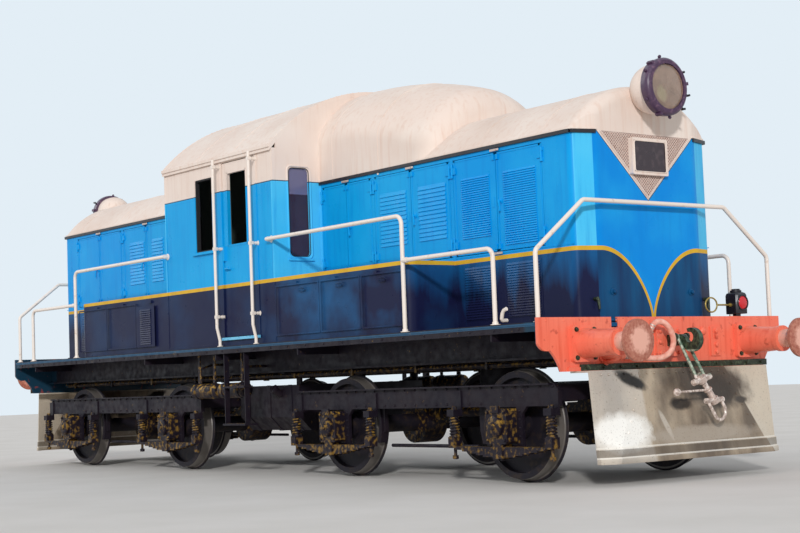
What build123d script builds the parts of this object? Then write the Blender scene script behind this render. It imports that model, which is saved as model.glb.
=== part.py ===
from build123d import *
import os
from math import radians, sqrt, tan

os.makedirs("parts", exist_ok=True)

# Centre-cab diesel locomotive on two four-wheeled bogies, broad gauge, in millimetres.
# X runs along the track with the front at +X, Y across it with the left at +Y, and Z up.
# The origin lies at mid-length on the centreline, level with the tips of the wheel flanges.

# Clearances
running = 0.05  # radial play of a shaft in its bore
seat = 0.3  # play between pieces that rest on each other
past = 100.0  # how far a cutting shape runs past what it cuts

# Wheels and axles
back_to_back = 1600.0
flange_height = 28.0
flange_thickness = 32.0
wheel_width = 130.0
tread_diameter = 914.0
rim_depth = 58.0
web_thickness = 28.0
hub_radius = 125.0
axle_radius = 85.0
journal_radius = 65.0
journal_start_y = 965.0
journal_end_y = 1140.0

rail_z = flange_height
axle_z = rail_z + tread_diameter / 2

# Bogies
bogie_x = 2800.0
wheelbase = 2440.0
side_frame_y = 1035.0
side_frame_thickness = 30.0
side_frame_top_z = 830.0
side_frame_depth = 185.0
horn_width = 70.0
horn_bottom_z = 330.0
axle_box_length = 260.0
axle_box_height = 290.0
axle_box_outer_y = 1180.0
bolster_half_length = 190.0
bolster_bottom_z = 640.0
centre_bowl_radius = 220.0
centre_bowl_height = 90.0
pivot_radius = 100.0
pivot_play = 1.0
end_beam_length = 60.0
end_beam_offset = 560.0  # beyond each axle

# Springs, hung below the axle boxes
hanger_offset = 610.0
spring_y = 1120.0
leaf_width = 90.0
leaf_thickness = 14.0
leaf_lengths = (1300.0, 1120.0, 940.0, 760.0, 580.0, 400.0)
buckle_length = 110.0
hanger_radius = 14.0
hanger_bottom_z = 205.0
coil_radius = 38.0
coil_bottom_z = 395.0
coil_top_z = 570.0
bracket_length = 90.0

# Final drives and brakes
casing_radius = 205.0
casing_half_width = 130.0
torque_arm_width = 90.0
shaft_radius = 45.0
shaft_z = 575.0
shoe_gap = 8.0
shoe_thickness = 45.0
shoe_height = 320.0
shoe_width = 80.0
brake_hanger_width = 40.0

# Underframe
frame_length = 9750.0  # over the headstocks
frame_half_width = 1449.0
deck_top_z = 1311.0
deck_thickness = 14.0
sole_bar_y = 900.0  # inner face
sole_bar_width = 100.0
sole_bar_depth = 270.0
sole_bar_flange = 18.0
cross_member_length = 120.0
valance_depth = 75.0
valance_thickness = 12.0
cross_member_x = (-4300.0, -1500.0, 0.0, 1500.0, 4300.0)
pivot_stretcher_half_length = 260.0
outrigger_depth = 120.0

# Headstocks
headstock_thickness = 30.0
headstock_overhang = 4.0  # beyond the side of the footplate
headstock_top_z = 1345.0
headstock_bottom_z = 915.0
headstock_side_z = 1140.0  # where the cut corner starts
headstock_shoulder_cut = 123.0  # in from the end
headstock_shoulder_z = 1085.0
headstock_foot_cut = 238.0
lamp_slot_y = 606.0
lamp_slot_width = 74.0
lamp_slot_depth = 85.0
hook_plate_half_width = 150.0
hook_plate_half_height = 120.0
hook_plate_thickness = 25.0
bracket_plate_y = 590.0
bracket_plate_width = 120.0
bracket_plate_height = 250.0
bracket_plate_thickness = 14.0
foot_angle_half_width = 1150.0
foot_angle_thickness = 14.0
foot_angle_height = 32.0

# Buffers and draw gear, at the usual broad gauge height and spacing
buffer_height = 1105.0  # above the rail
buffer_spacing = 1956.0
buffer_projection = 635.0
buffer_base_width = 276.0
buffer_base_height = 290.0
buffer_base_thickness = 40.0
buffer_base_corner = 30.0
buffer_housing_length = 388.0
buffer_root_radius = 124.0
buffer_mouth_radius = 99.0
buffer_collar_radius = 110.0
buffer_collar_length = 45.0
buffer_rod_radius = 76.0
buffer_head_radius = 165.0
buffer_head_thickness = 40.0
buffer_head_dome = 12.0
buffer_flat_radius = 60.0  # worn flat in the middle
hook_thickness = 48.0
hook_reach = 380.0
hook_radius = 98.0
hook_mouth_radius = 44.0
link_bar_radius = 14.0
link_pin_reach = 155.0
link_pin_rise = 39.0  # above the buffers' centres
# the screw coupling below the hook hangs askew: reach ahead of the headstock, y, z
coupling_nut = (350.0, 10.0, 812.0)
coupling_bar = (352.0, 147.0, 639.0)
coupling_end = (357.0, 250.0, 478.0)
coupling_ball = (350.0, -290.0, 717.0)
coupling_bar_half = 104.0
screw_radius = 23.0
ball_radius = 32.0

# Track ploughs
plough_top_reach = 150.0
plough_bottom_reach = 290.0
plough_wing_reach = 212.0
plough_half_width = 1066.0
plough_fold_top_y = 520.0
plough_fold_bottom_y = 924.0
plough_bottom_z = 180.0
plough_thickness = 12.0
plough_lips = ((0.0, 45.0, 28.0), (45.0, 120.0, 16.0))  # from, to, reach ahead of the sheet
plough_rib_y = (-640.0, 0.0, 640.0)

# Hoods
hood_half_width = 814.0
hood_wall = 40.0
hood_side_end_x = 4670.0
hood_face_x = 4742.0
hood_face_half_width = 581.0
hood_corner_radius = 70.0
hood_face_radius = 220.0
gutter_z = 2904.0
gutter_overhang = 16.0
gutter_height = 14.0
hood_roof_rise = 416.0
roof_end_radius = 110.0
stripe_z = 1939.0

roof_crown_z = gutter_z + hood_roof_rise

# Hood doors: one bay of two leaves between each pair of hinge lines
bay_edges = ((1110.0, 1931.0), (1971.0, 3111.0), (3151.0, 4325.0))
door_sill = 33.0  # above the stripe
door_head = 64.0  # below the gutter
door_gap = 6.0
leaf_gap = 10.0  # between the two leaves of a bay
hinge_radius = 10.0
knuckle_length = 60.0
knuckle_inset = 70.0
catch_length = 46.0
catch_width = 26.0
catch_height = 14.0

door_bottom_z = stripe_z + door_sill
door_top_z = gutter_z - door_head

# Louvres, by end, bay and leaf: from x, to x, bottom z, top z, pitch
louvre_table = {
    ("front", 1, 0): (2065.0, 2465.0, 2158.0, 2673.0, 39.0),
    ("front", 1, 1): (2647.0, 3045.0, 2158.0, 2673.0, 39.0),
    ("front", 2, 0): (3265.0, 3645.0, 2120.0, 2660.0, 20.0),
    ("front", 2, 1): (3831.0, 4240.0, 2020.0, 2660.0, 20.0),
    ("rear", 1, 0): (2133.0, 2396.0, 2158.0, 2673.0, 39.0),
    ("rear", 1, 1): (2589.0, 2938.0, 2158.0, 2673.0, 39.0),
}
louvre_rise = 11.0

# Tall fairing on the front hood: level beside the cab, then curving down along an arc
fairing_half_width = 820.0
fairing_rise = 954.0  # from the hood's gutter to the crown
fairing_shoulder_rise = 446.0
fairing_crown_z = gutter_z + fairing_rise
fairing_shoulder_z = gutter_z + fairing_shoulder_rise
fairing_shoulder_radius = 300.0
fairing_level_end_x = 1300.0
fairing_drop_radius = 4700.0
fairing_end_x = 2860.0
fairing_end_radius = 250.0

# Side lockers beside the inner half of each hood
locker_setback = 71.0  # in from the footplate's edge
locker_half_width = frame_half_width - locker_setback
locker_end_x = 3145.0
locker_corner_radius = 110.0
locker_handle_x = 330.0  # first handle, from the cab
locker_handle_pitch = 640.0
locker_handle_length = 60.0
locker_handle_reach = 20.0

# Cab
cab_half_length = 1070.0
cab_wall = 50.0
cab_step_up = 354.0  # from the hood's gutter to the cab's
cab_roof_rise = 617.0
cab_gutter_z = gutter_z + cab_step_up
cab_crown_z = cab_gutter_z + cab_roof_rise
cab_roof_thickness = 40.0
cab_roof_overhang = 22.0
end_window_margin = 143.0  # in from the side's inner face
end_window_width = 235.0
end_window_inner_y = locker_half_width - cab_wall - end_window_margin - end_window_width
end_window_bottom_z = 2157.0
end_window_head = 226.0  # below the gutter
end_window_height = cab_gutter_z - end_window_head - end_window_bottom_z
end_window_radius = 45.0
side_window_x = -415.0
side_window_length = 340.0
side_window_bottom_z = 2311.0
side_window_head = 187.0  # below the gutter
side_window_height = cab_gutter_z - side_window_head - side_window_bottom_z
cab_door_x = 112.0
cab_door_width = 642.0
cab_door_bottom_z = 1400.0
cab_door_head = 68.0  # below the gutter
cab_door_top_z = cab_gutter_z - cab_door_head
cab_door_thickness = 40.0
door_window_inset = 100.0
door_window_length = 352.0
door_window_bottom_z = 2340.0
door_window_head = 120.0  # below the top of the door
door_window_top_z = cab_door_top_z - door_window_head
glass_thickness = 8.0
desk_half_length = 220.0
desk_half_width = 380.0
desk_rim_height = 950.0
desk_slope_rise = 150.0
seat_x = -330.0
seat_y = 880.0
seat_size = 420.0
seat_height = 450.0
seat_back_height = 480.0

# Headlight and number box at each end
headlight_rise = 359.0  # above the hood's gutter
headlight_z = gutter_z + headlight_rise
headlight_front_x = 5035.0
headlight_drum_radius = 212.0
headlight_drum_length = 276.0
headlight_bowl_radius = 200.0  # rounding of the drum's back
bezel_radius = 238.0
bezel_length = 85.0
lens_radius = 192.0
lens_thickness = 14.0
number_box_half_width = 214.0
number_box_head = 47.0  # below the hood's gutter
number_box_height = 312.0
number_box_top_z = gutter_z - number_box_head
number_box_bottom_z = number_box_top_z - number_box_height
number_box_reach = 48.0
number_glass_margin = 22.0
number_glass_depth = 8.0

# Handrails
rail_radius = 19.0
rail_y = frame_half_width - rail_radius
high_rail_z = 2324.0
low_rail_z = 1933.0
inner_post_x = 3168.0
outer_post_x = 4355.0
rail_bend = 75.0
arch_gap = 2.0  # between the end posts and the headstock
arch_post_inset = 54.0  # in from the footplate's edge
arch_post_y = frame_half_width - arch_post_inset
arch_shoulder_z = 1878.0
arch_bar_y = 850.0
arch_bar_z = 2300.0
pole_radius = 16.0
pole_reach = 84.0  # out from the cab's side
pole_y = locker_half_width + pole_reach
pole_bracket_z = (1613.0, 2308.0, cab_gutter_z - 108.0)

# Engine and transmission in the front hood, as one block
engine_x = (1300.0, 4250.0)
engine_half_width = 480.0
engine_head = 204.0  # below the hood's gutter
engine_top_z = gutter_z - engine_head

# Below the footplate, between the bogies
tank_half_length = 560.0
tank_half_width = 800.0
tank_bottom_z = 430.0
tank_corner = 140.0
reservoir_radius = 78.0
reservoir_inset = 199.0  # in from the footplate's edge
reservoir_y = frame_half_width - reservoir_inset
reservoir_z = 863.0
reservoir_x = ((-735.0, -250.0), (-190.0, 295.0))
strap_width = 40.0
step_x = (150.0, 530.0)
step_levels = ((530.0, 150.0), (905.0, 105.0))  # top z, tread width
step_tread_thickness = 18.0
step_hanger_width = 55.0
step_hanger_thickness = 12.0

# Tail lamp on the front headstock
lamp_x = 4850.0
lamp_y = 925.0
lamp_size = 190.0
lamp_height = 210.0
lamp_lens_radius = 58.0

# Brake hoses at each end
hose_radius = 24.0
hose_pipe_radius = 29.0
hose_head_radius = 33.0
hose_head_length = 60.0
# route from the parked head to the pipe: reach ahead of the headstock, y, z
hose_route = (
    (73.0, -272.0, 1228.0),
    (97.0, -247.0, 1297.0),
    (131.0, -176.0, 1300.0),
    (157.0, -118.0, 1232.0),
    (165.0, -92.0, 1135.0),
    (157.0, -122.0, 1046.0),
    (137.0, -215.0, 998.0),
    (119.0, -345.0, 998.0),
    (109.0, -500.0, 1018.0),
    (105.0, -630.0, 1026.0),
)


def block(x, y, z):
    """A box between two values on each axis."""
    size = Box(abs(x[1] - x[0]), abs(y[1] - y[0]), abs(z[1] - z[0]))
    return Pos((x[0] + x[1]) / 2, (y[0] + y[1]) / 2, (z[0] + z[1]) / 2) * size


def prism_x(points, x0, x1):
    """A prism along X from an outline of (y, z) points."""
    face = make_face(Polyline(*points, close=True))
    return extrude(Plane.YZ.offset(x0) * face, x1 - x0)


def prism_y(points, y0, y1):
    """A prism along Y from an outline of (x, z) points."""
    face = make_face(Polyline(*points, close=True))
    return extrude(Plane.XZ.offset(-y1) * face, y1 - y0)


def bar(axis, centre, radius, length):
    """A round bar centred on a point, along X, Y or Z."""
    turn = {"X": Rot(0, 90, 0), "Y": Rot(90, 0, 0), "Z": Rot(0, 0, 0)}[axis]
    return Pos(*centre) * turn * Cylinder(radius, length)


def tube_along(points, radius, bends):
    """A round tube along a bent line."""
    path = FilletPolyline(*points, radius=bends)
    start = Plane(origin=path @ 0, z_dir=path % 0)
    return sweep(start * Circle(radius), path=path)


def turned(shape):
    """The same shape at the other end and side, turned half a circle about Z."""
    return Rot(0, 0, 180) * shape


def flipped(shape):
    """The same shape on the other side of the centreline."""
    return mirror(shape, about=Plane.XZ)


def fuse(shapes):
    """All shapes joined into one."""
    joined = shapes[0]
    for shape in shapes[1:]:
        joined = joined + shape
    return joined


def save(name, shapes):
    """Writes one node from a shape or a list of shapes."""
    solids = []
    for shape in shapes if isinstance(shapes, list) else [shapes]:
        solids += shape.solids()
    export_step(solids[0] if len(solids) == 1 else Compound(solids), f"parts/{name}.step")


# Wheel sets: two flanged wheels pressed on one axle
half_gauge_back = back_to_back / 2
tread_radius = tread_diameter / 2
flange_radius = tread_radius + flange_height
rim_radius = tread_radius - rim_depth
web_y = half_gauge_back + 50


def wheelset():
    """One axle with its wheels, on the Y axis."""
    half = [
        (axle_radius, 0),
        (axle_radius, half_gauge_back - 15),
        (hub_radius, half_gauge_back - 10),
        (hub_radius, web_y - 6),
        (rim_radius - 6, web_y),
        (rim_radius, half_gauge_back),
        (flange_radius - 14, half_gauge_back),
        (flange_radius - 3, half_gauge_back + 6),
        (flange_radius, half_gauge_back + 13),
        (flange_radius - 4, half_gauge_back + 20),
        (tread_radius + 4, half_gauge_back + flange_thickness - 4),
        (tread_radius, half_gauge_back + flange_thickness + 2),
        (tread_radius - 4, half_gauge_back + wheel_width - 6),
        (tread_radius - 9, half_gauge_back + wheel_width),
        (rim_radius, half_gauge_back + wheel_width),
        (rim_radius - 6, web_y + web_thickness),
        (hub_radius, web_y + web_thickness + 6),
        (hub_radius, journal_start_y - 12),
        (journal_radius + 25, journal_start_y - 8),
        (journal_radius + 25, journal_start_y),
        (journal_radius, journal_start_y),
        (journal_radius, journal_end_y),
        (0, journal_end_y),
    ]
    other = [(r, -y) for r, y in reversed(half)]
    face = make_face(Polyline(*other[:-1], *half, close=True))
    return revolve(face, Axis.Y)


# Bogies, drawn about their own centre and set at each end
axle_x = (-wheelbase / 2, wheelbase / 2)
box_top_z = axle_z + axle_box_height / 2
box_bottom_z = axle_z - axle_box_height / 2
beam_bottom_z = side_frame_top_z - side_frame_depth
frame_end_x = wheelbase / 2 + hanger_offset + bracket_length / 2
bolster_top_z = side_frame_top_z - 10
frame_bottom_z = deck_top_z - deck_thickness - sole_bar_depth
bowl_top_z = bolster_top_z + centre_bowl_height


def side_frame():
    """Outside plate frame with a pair of horns round each axle box."""
    horn_gap = axle_box_length / 2 + seat
    outer = horn_gap + horn_width
    outline = [(-frame_end_x, side_frame_top_z - 60), (-frame_end_x, beam_bottom_z)]
    for x in axle_x:
        outline += [
            (x - outer - 60, beam_bottom_z),
            (x - outer, beam_bottom_z - 60),
            (x - outer, horn_bottom_z),
            (x - horn_gap, horn_bottom_z),
            (x - horn_gap, box_top_z + 12),
            (x + horn_gap, box_top_z + 12),
            (x + horn_gap, horn_bottom_z),
            (x + outer, horn_bottom_z),
            (x + outer, beam_bottom_z - 60),
            (x + outer + 60, beam_bottom_z),
        ]
    outline += [(frame_end_x, beam_bottom_z), (frame_end_x, side_frame_top_z - 60)]
    outline += [(frame_end_x - 60, side_frame_top_z), (-frame_end_x + 60, side_frame_top_z)]
    plate = prism_y(outline, side_frame_y, side_frame_y + side_frame_thickness)
    outside = side_frame_y + side_frame_thickness
    for x in axle_x:
        for offset in (-hanger_offset, hanger_offset):
            span = (x + offset - bracket_length / 2, x + offset + bracket_length / 2)
            plate += block(span, (outside - 1, spring_y + 45), (coil_top_z + 1, coil_top_z + 60))
            plate += block(span, (outside - 1, outside + 14), (coil_top_z + 1, side_frame_top_z - 40))
    top = block((-frame_end_x + 80, frame_end_x - 80), (outside - 1, outside + 40),
                (side_frame_top_z - 14, side_frame_top_z))
    return plate + top


def brake_set(x, sign):
    """Brake block and hanger on the bolster side of one left wheel."""
    y0 = half_gauge_back + 34
    y_span = (y0, y0 + shoe_width)
    reach = tread_radius + shoe_gap
    inner = bar("Y", (x, y0 + shoe_width / 2, axle_z), reach, shoe_width + 20)
    outer = bar("Y", (x, y0 + shoe_width / 2, axle_z), reach + shoe_thickness, shoe_width)
    window = block((x - sign * 2000, x - sign * 200), y_span,
                   (axle_z - shoe_height / 2, axle_z + shoe_height / 2))
    shoe = (outer & window) - inner
    hanger_x = x - sign * (reach + shoe_thickness - 12)
    hanger = block((hanger_x, hanger_x - sign * brake_hanger_width), (y0 + 20, y0 + 60),
                   (axle_z - 60, side_frame_top_z - 30))
    stub = block((hanger_x, hanger_x - sign * brake_hanger_width), (y0 + 20, side_frame_y),
                 (side_frame_top_z - 90, side_frame_top_z - 30))
    return shoe + hanger + stub


def bogie_frame():
    """Side frames, a bolster with its centre bowl and end beams, and apart from them the brakes."""
    side = side_frame()
    inner = side_frame_y + 1
    pieces = [side, flipped(side)]
    pieces.append(block((-bolster_half_length, bolster_half_length), (-inner, inner),
                        (bolster_bottom_z, bolster_top_z)))
    beam_x = wheelbase / 2 + end_beam_offset
    for sign in (-1, 1):
        span = (sign * (beam_x - end_beam_length / 2), sign * (beam_x + end_beam_length / 2))
        pieces.append(block(span, (-inner, inner), (beam_bottom_z + 40, side_frame_top_z - 15)))
    pieces.append(bar("Z", (0, 0, (bolster_top_z + bowl_top_z) / 2), centre_bowl_radius, centre_bowl_height))
    frame = fuse(pieces)
    middle = (bolster_bottom_z + bowl_top_z) / 2
    frame -= bar("Z", (0, 0, middle), pivot_radius + pivot_play, bowl_top_z - bolster_bottom_z + 20)
    brakes = [brake_set(x, sign) for x, sign in zip(axle_x, (-1, 1))]
    return [frame] + brakes + [flipped(brake) for brake in brakes]


def axle_box():
    """One axle box on the left side, with its bore open towards the wheel."""
    inner_y = journal_start_y + 20
    box = block((-axle_box_length / 2, axle_box_length / 2), (inner_y, axle_box_outer_y),
                (box_bottom_z, box_top_z))
    box = chamfer(box.edges().filter_by(Axis.Y), 22)
    box += bar("Y", (0, axle_box_outer_y + 12, axle_z), 92, 26)
    depth = journal_end_y + 5 - inner_y
    return box - bar("Y", (0, inner_y + depth / 2 - 5, axle_z), journal_radius + running, depth + 10)


def spring():
    """Laminated spring under one axle box, with a seat for a coil at each end."""
    top = box_bottom_z - 24
    y_span = (spring_y - leaf_width / 2, spring_y + leaf_width / 2)
    pieces = [block((-buckle_length / 2, buckle_length / 2),
                    (y_span[0] - 12, y_span[1] + 12),
                    (top - leaf_thickness * len(leaf_lengths) - 14, box_bottom_z))]
    for number, length in enumerate(leaf_lengths):
        z = top - leaf_thickness * number
        pieces.append(block((-length / 2, length / 2), y_span, (z - leaf_thickness, z)))
    for x in (-hanger_offset, hanger_offset):
        pieces.append(block((x - 40, x + 40), y_span, (top - 1, coil_bottom_z)))
    stack = fuse(pieces)
    for x in (-hanger_offset, hanger_offset):
        stack -= bar("Z", (x, spring_y, top), hanger_radius + seat, 400)
    return stack


def spring_hanger():
    """Rod through a spring's end, with its coils above and its nut below."""
    height = coil_top_z - hanger_bottom_z
    hanger = bar("Z", (0, spring_y, hanger_bottom_z + height / 2), hanger_radius, height)
    hanger += bar("Z", (0, spring_y, hanger_bottom_z + 18), hanger_radius + 12, 30)
    coil_height = coil_top_z - coil_bottom_z
    hanger += bar("Z", (0, spring_y, coil_bottom_z + coil_height / 2), coil_radius - 8, coil_height)
    for z in range(int(coil_bottom_z) + 12, int(coil_top_z) - 6, 26):
        hanger += bar("Z", (0, spring_y, z), coil_radius, 13)
    return hanger


def final_drive(sign):
    """Gear casing round one axle, with the arm that holds it to the bolster."""
    x = sign * wheelbase / 2
    casing = bar("Y", (x, 0, axle_z), casing_radius, 2 * casing_half_width)
    nose = x - sign * (casing_radius + 90)
    casing += block((nose, x), (-80, 80), (shaft_z - 75, shaft_z + 75))
    arm_end = sign * (bolster_half_length + seat)
    arm_z = bolster_bottom_z + 40
    casing += block((arm_end, x), (-casing_half_width, -casing_half_width + torque_arm_width),
                    (arm_z, arm_z + 60))
    return casing - bar("Y", (x, 0, axle_z), axle_radius + 1, 2 * casing_half_width + 20)


def cardan_shaft():
    """Shaft between the two final drives, with a yoke at each end."""
    reach = wheelbase / 2 - casing_radius - 90 - seat
    shaft = bar("X", (0, 0, shaft_z), shaft_radius, 2 * reach - 60)
    for sign in (-1, 1):
        shaft += bar("X", (sign * (reach - 30), 0, shaft_z), shaft_radius + 14, 60)
    return shaft


def place_bogie(name, centre_x):
    """Writes the pieces of one bogie."""
    move = Pos(centre_x, 0, 0)
    boxes = []
    for x in axle_x:
        for piece in (axle_box(), spring(), Pos(-hanger_offset, 0, 0) * spring_hanger(),
                      Pos(hanger_offset, 0, 0) * spring_hanger()):
            boxes += [Pos(x, 0, 0) * piece, Pos(x, 0, 0) * flipped(piece)]
    drives = [final_drive(-1), final_drive(1), cardan_shaft()]
    save(f"bogie_frame_{name}", [move * piece for piece in bogie_frame()])
    save(f"springs_{name}", [move * piece for piece in boxes])
    save(f"drives_{name}", [move * piece for piece in drives])


for name, centre_x in (("front", bogie_x), ("rear", -bogie_x)):
    place_bogie(name, centre_x)
centres = [side * (bogie_x + side * x) for side in (1, -1) for x in (axle_x[1], axle_x[0])]
for number, x in enumerate(centres):
    save(f"wheelset_{number + 1}", Pos(x, 0, axle_z) * wheelset())


# Underframe: footplate, sole bars, cross members and the two pivots
frame_end = frame_length / 2
inside_end = frame_end - headstock_thickness
deck_bottom_z = deck_top_z - deck_thickness


def underframe():
    """The members that carry everything above the bogies, each butted against its neighbours."""
    length = (-inside_end, inside_end)
    web_inner, web_outer = sole_bar_y + sole_bar_width / 2 - 8, sole_bar_y + sole_bar_width / 2 + 8
    valance_inner = frame_half_width - valance_thickness
    flange_top_z = frame_bottom_z + sole_bar_flange
    pieces = [block(length, (-frame_half_width, frame_half_width), (deck_bottom_z, deck_top_z))]
    for side in (-1, 1):
        flange = (side * sole_bar_y, side * (sole_bar_y + sole_bar_width))
        pieces.append(block(length, flange, (frame_bottom_z, flange_top_z)))
        pieces.append(block(length, (side * web_inner, side * web_outer), (flange_top_z, deck_bottom_z)))
        edge = (side * valance_inner, side * frame_half_width)
        pieces.append(block(length, edge, (deck_top_z - valance_depth, deck_bottom_z)))
    for x in cross_member_x:
        span = (x - cross_member_length / 2, x + cross_member_length / 2)
        pieces.append(block(span, (-web_inner, web_inner), (frame_bottom_z + 60, deck_bottom_z)))
        for side in (-1, 1):
            levels = (deck_bottom_z - outrigger_depth, deck_bottom_z)
            pieces.append(block((x - 8, x + 8), (side * web_outer, side * valance_inner), levels))
    for x in (-bogie_x, bogie_x):
        span = (x - pivot_stretcher_half_length, x + pivot_stretcher_half_length)
        stretcher = block(span, (-web_inner, web_inner), (flange_top_z, deck_bottom_z))
        stretcher += block(span, (-sole_bar_y, sole_bar_y), (frame_bottom_z, flange_top_z + 1))
        plate = frame_bottom_z - (bowl_top_z + seat)
        pivot = bar("Z", (x, 0, frame_bottom_z - plate / 2), centre_bowl_radius, plate)
        pin = frame_bottom_z - bolster_bottom_z - 20
        pivot += bar("Z", (x, 0, frame_bottom_z - pin / 2), pivot_radius, pin)
        pieces += [stretcher, pivot]
    return pieces


save("underframe", underframe())

# Headstocks: end plates with cut lower corners
buffer_y = buffer_spacing / 2
buffer_z = rail_z + buffer_height
headstock_half_width = frame_half_width + headstock_overhang
headstock_shoulder_y = headstock_half_width - headstock_shoulder_cut
headstock_foot_y = headstock_half_width - headstock_foot_cut


def ahead(place):
    """A point given by its reach ahead of the front headstock, y and z."""
    return Vector(frame_end + place[0], place[1], place[2])


def headstock():
    """The front end plate with the hook's plate, two bracket plates, a foot angle and the hose's pipe."""
    half = Line((0, headstock_top_z), (headstock_half_width, headstock_top_z))
    half += Line((headstock_half_width, headstock_top_z), (headstock_half_width, headstock_side_z))
    half += ThreePointArc(
        (headstock_half_width, headstock_side_z),
        (headstock_half_width - 32, headstock_side_z - 42),
        (headstock_shoulder_y, headstock_shoulder_z),
    )
    half += ThreePointArc(
        (headstock_shoulder_y, headstock_shoulder_z),
        (headstock_shoulder_y - 55, headstock_shoulder_z - 60),
        (headstock_foot_y, headstock_bottom_z),
    )
    half += Line((headstock_foot_y, headstock_bottom_z), (0, headstock_bottom_z))
    half += Line((0, headstock_bottom_z), (0, headstock_top_z))
    plate = extrude(Plane.YZ.offset(inside_end) * make_face(half), headstock_thickness)
    plate += flipped(plate)
    slot = block((inside_end - 5, frame_end + 5),
                 (-lamp_slot_y - lamp_slot_width / 2, -lamp_slot_y + lamp_slot_width / 2),
                 (headstock_top_z - lamp_slot_depth, headstock_top_z + 5))
    plate -= slot
    plate += block((frame_end - 1, frame_end + hook_plate_thickness),
                   (-hook_plate_half_width, hook_plate_half_width),
                   (buffer_z - hook_plate_half_height, buffer_z + hook_plate_half_height))
    half_width = bracket_plate_width / 2
    plate += block((frame_end - 1, frame_end + bracket_plate_thickness),
                   (bracket_plate_y - half_width, bracket_plate_y + half_width),
                   (buffer_z - bracket_plate_height / 2, buffer_z + bracket_plate_height / 2))
    plate += block((frame_end - 1, frame_end + foot_angle_thickness),
                   (-foot_angle_half_width, foot_angle_half_width),
                   (headstock_bottom_z, headstock_bottom_z + foot_angle_height))
    return plate + hose_pipe()


def hose_pipe():
    """Elbow from the headstock to the fixed end of the brake hose."""
    mouth = ahead(hose_route[-1])
    corner = mouth + (mouth - ahead(hose_route[-2]))
    path = FilletPolyline((inside_end, corner.Y, corner.Z), corner, mouth, radius=1.8 * hose_pipe_radius)
    pipe = sweep(Plane(origin=path @ 0, z_dir=path % 0) * Circle(hose_pipe_radius), path=path)
    return pipe + bar("X", (frame_end + 8, corner.Y, corner.Z), 1.8 * hose_pipe_radius, 18)


front_headstock = headstock()
save("headstocks", [front_headstock, turned(front_headstock)])


# Buffers: a bolted base and tapered housing, and the sprung head in it
housing_end_x = frame_end + buffer_base_thickness + buffer_housing_length
head_back_x = frame_end + buffer_projection - buffer_head_thickness


def buffer_housing():
    """Base plate and housing of the front left buffer."""
    half_width, half_height = buffer_base_width / 2, buffer_base_height / 2
    base = block((frame_end, frame_end + buffer_base_thickness),
                 (buffer_y - half_width, buffer_y + half_width),
                 (buffer_z - half_height, buffer_z + half_height))
    base = fillet(base.edges().filter_by(Axis.X), buffer_base_corner)
    profile = [
        (0, 0),
        (0, buffer_root_radius),
        (60, buffer_root_radius - 8),
        (buffer_housing_length - buffer_collar_length, buffer_mouth_radius),
        (buffer_housing_length - buffer_collar_length, buffer_collar_radius),
        (buffer_housing_length, buffer_collar_radius),
        (buffer_housing_length, 0),
    ]
    cone = revolve(make_face(Polyline(*profile, close=True)), Axis.X)
    housing = base + Pos(frame_end + buffer_base_thickness - 1, buffer_y, buffer_z) * cone
    rod_space = bar("X", (housing_end_x - 60, buffer_y, buffer_z), buffer_rod_radius + seat, 140)
    return housing - rod_space


def buffer_head():
    """Rod and domed head of the front left buffer."""
    rod_start = housing_end_x - 129
    reach = buffer_head_radius - buffer_flat_radius
    radius = (reach ** 2 + buffer_head_dome ** 2) / (2 * buffer_head_dome)
    length = head_back_x - rod_start
    tip = frame_end + buffer_projection - rod_start
    half = Line((0, 0), (0, buffer_rod_radius)) + Line((0, buffer_rod_radius), (length, buffer_rod_radius))
    half += Line((length, buffer_rod_radius), (length, buffer_head_radius))
    rim = tip - buffer_head_dome
    half += Line((length, buffer_head_radius), (rim, buffer_head_radius))
    middle = (buffer_head_radius + buffer_flat_radius) / 2
    sag = radius - sqrt(radius ** 2 - (middle - buffer_flat_radius) ** 2)
    half += ThreePointArc((rim, buffer_head_radius), (tip - sag, middle), (tip, buffer_flat_radius))
    half += Line((tip, buffer_flat_radius), (tip, 0))
    half += Line((tip, 0), (0, 0))
    return Pos(rod_start, buffer_y, buffer_z) * revolve(make_face(half), Axis.X)


def four(shape):
    """A front left shape at all four corners."""
    return [shape, flipped(shape), turned(shape), turned(flipped(shape))]


save("buffer_housings", four(buffer_housing()))
save("buffer_heads", four(buffer_head()))


def rod(a, b, radius):
    """A round rod between two points."""
    line = Line(a, b)
    return sweep(Plane(origin=line @ 0, z_dir=line % 0) * Circle(radius), path=line)


def hook():
    """Draw hook: a shank, and a horn that curls up and back round its mouth."""
    side = hook_thickness / 2
    start = frame_end + hook_plate_thickness
    centre = frame_end + hook_reach - hook_radius
    shape = block((start, centre - hook_radius / 2), (-side, side), (buffer_z - 35, buffer_z + 58))
    shape += bar("Y", (centre, 0, buffer_z + 8), hook_radius, hook_thickness)
    mouth = (centre - 14, buffer_z + 30)
    shape -= bar("Y", (mouth[0], 0, mouth[1]), hook_mouth_radius, hook_thickness + 10)
    gap = [(mouth[0], mouth[1]), (mouth[0] - 36, mouth[1] + past), (mouth[0] - past, mouth[1] + past),
           (mouth[0] - past, mouth[1] + 30), (mouth[0] - hook_mouth_radius, mouth[1])]
    return shape - prism_y(gap, -side - 5, side + 5)


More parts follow.
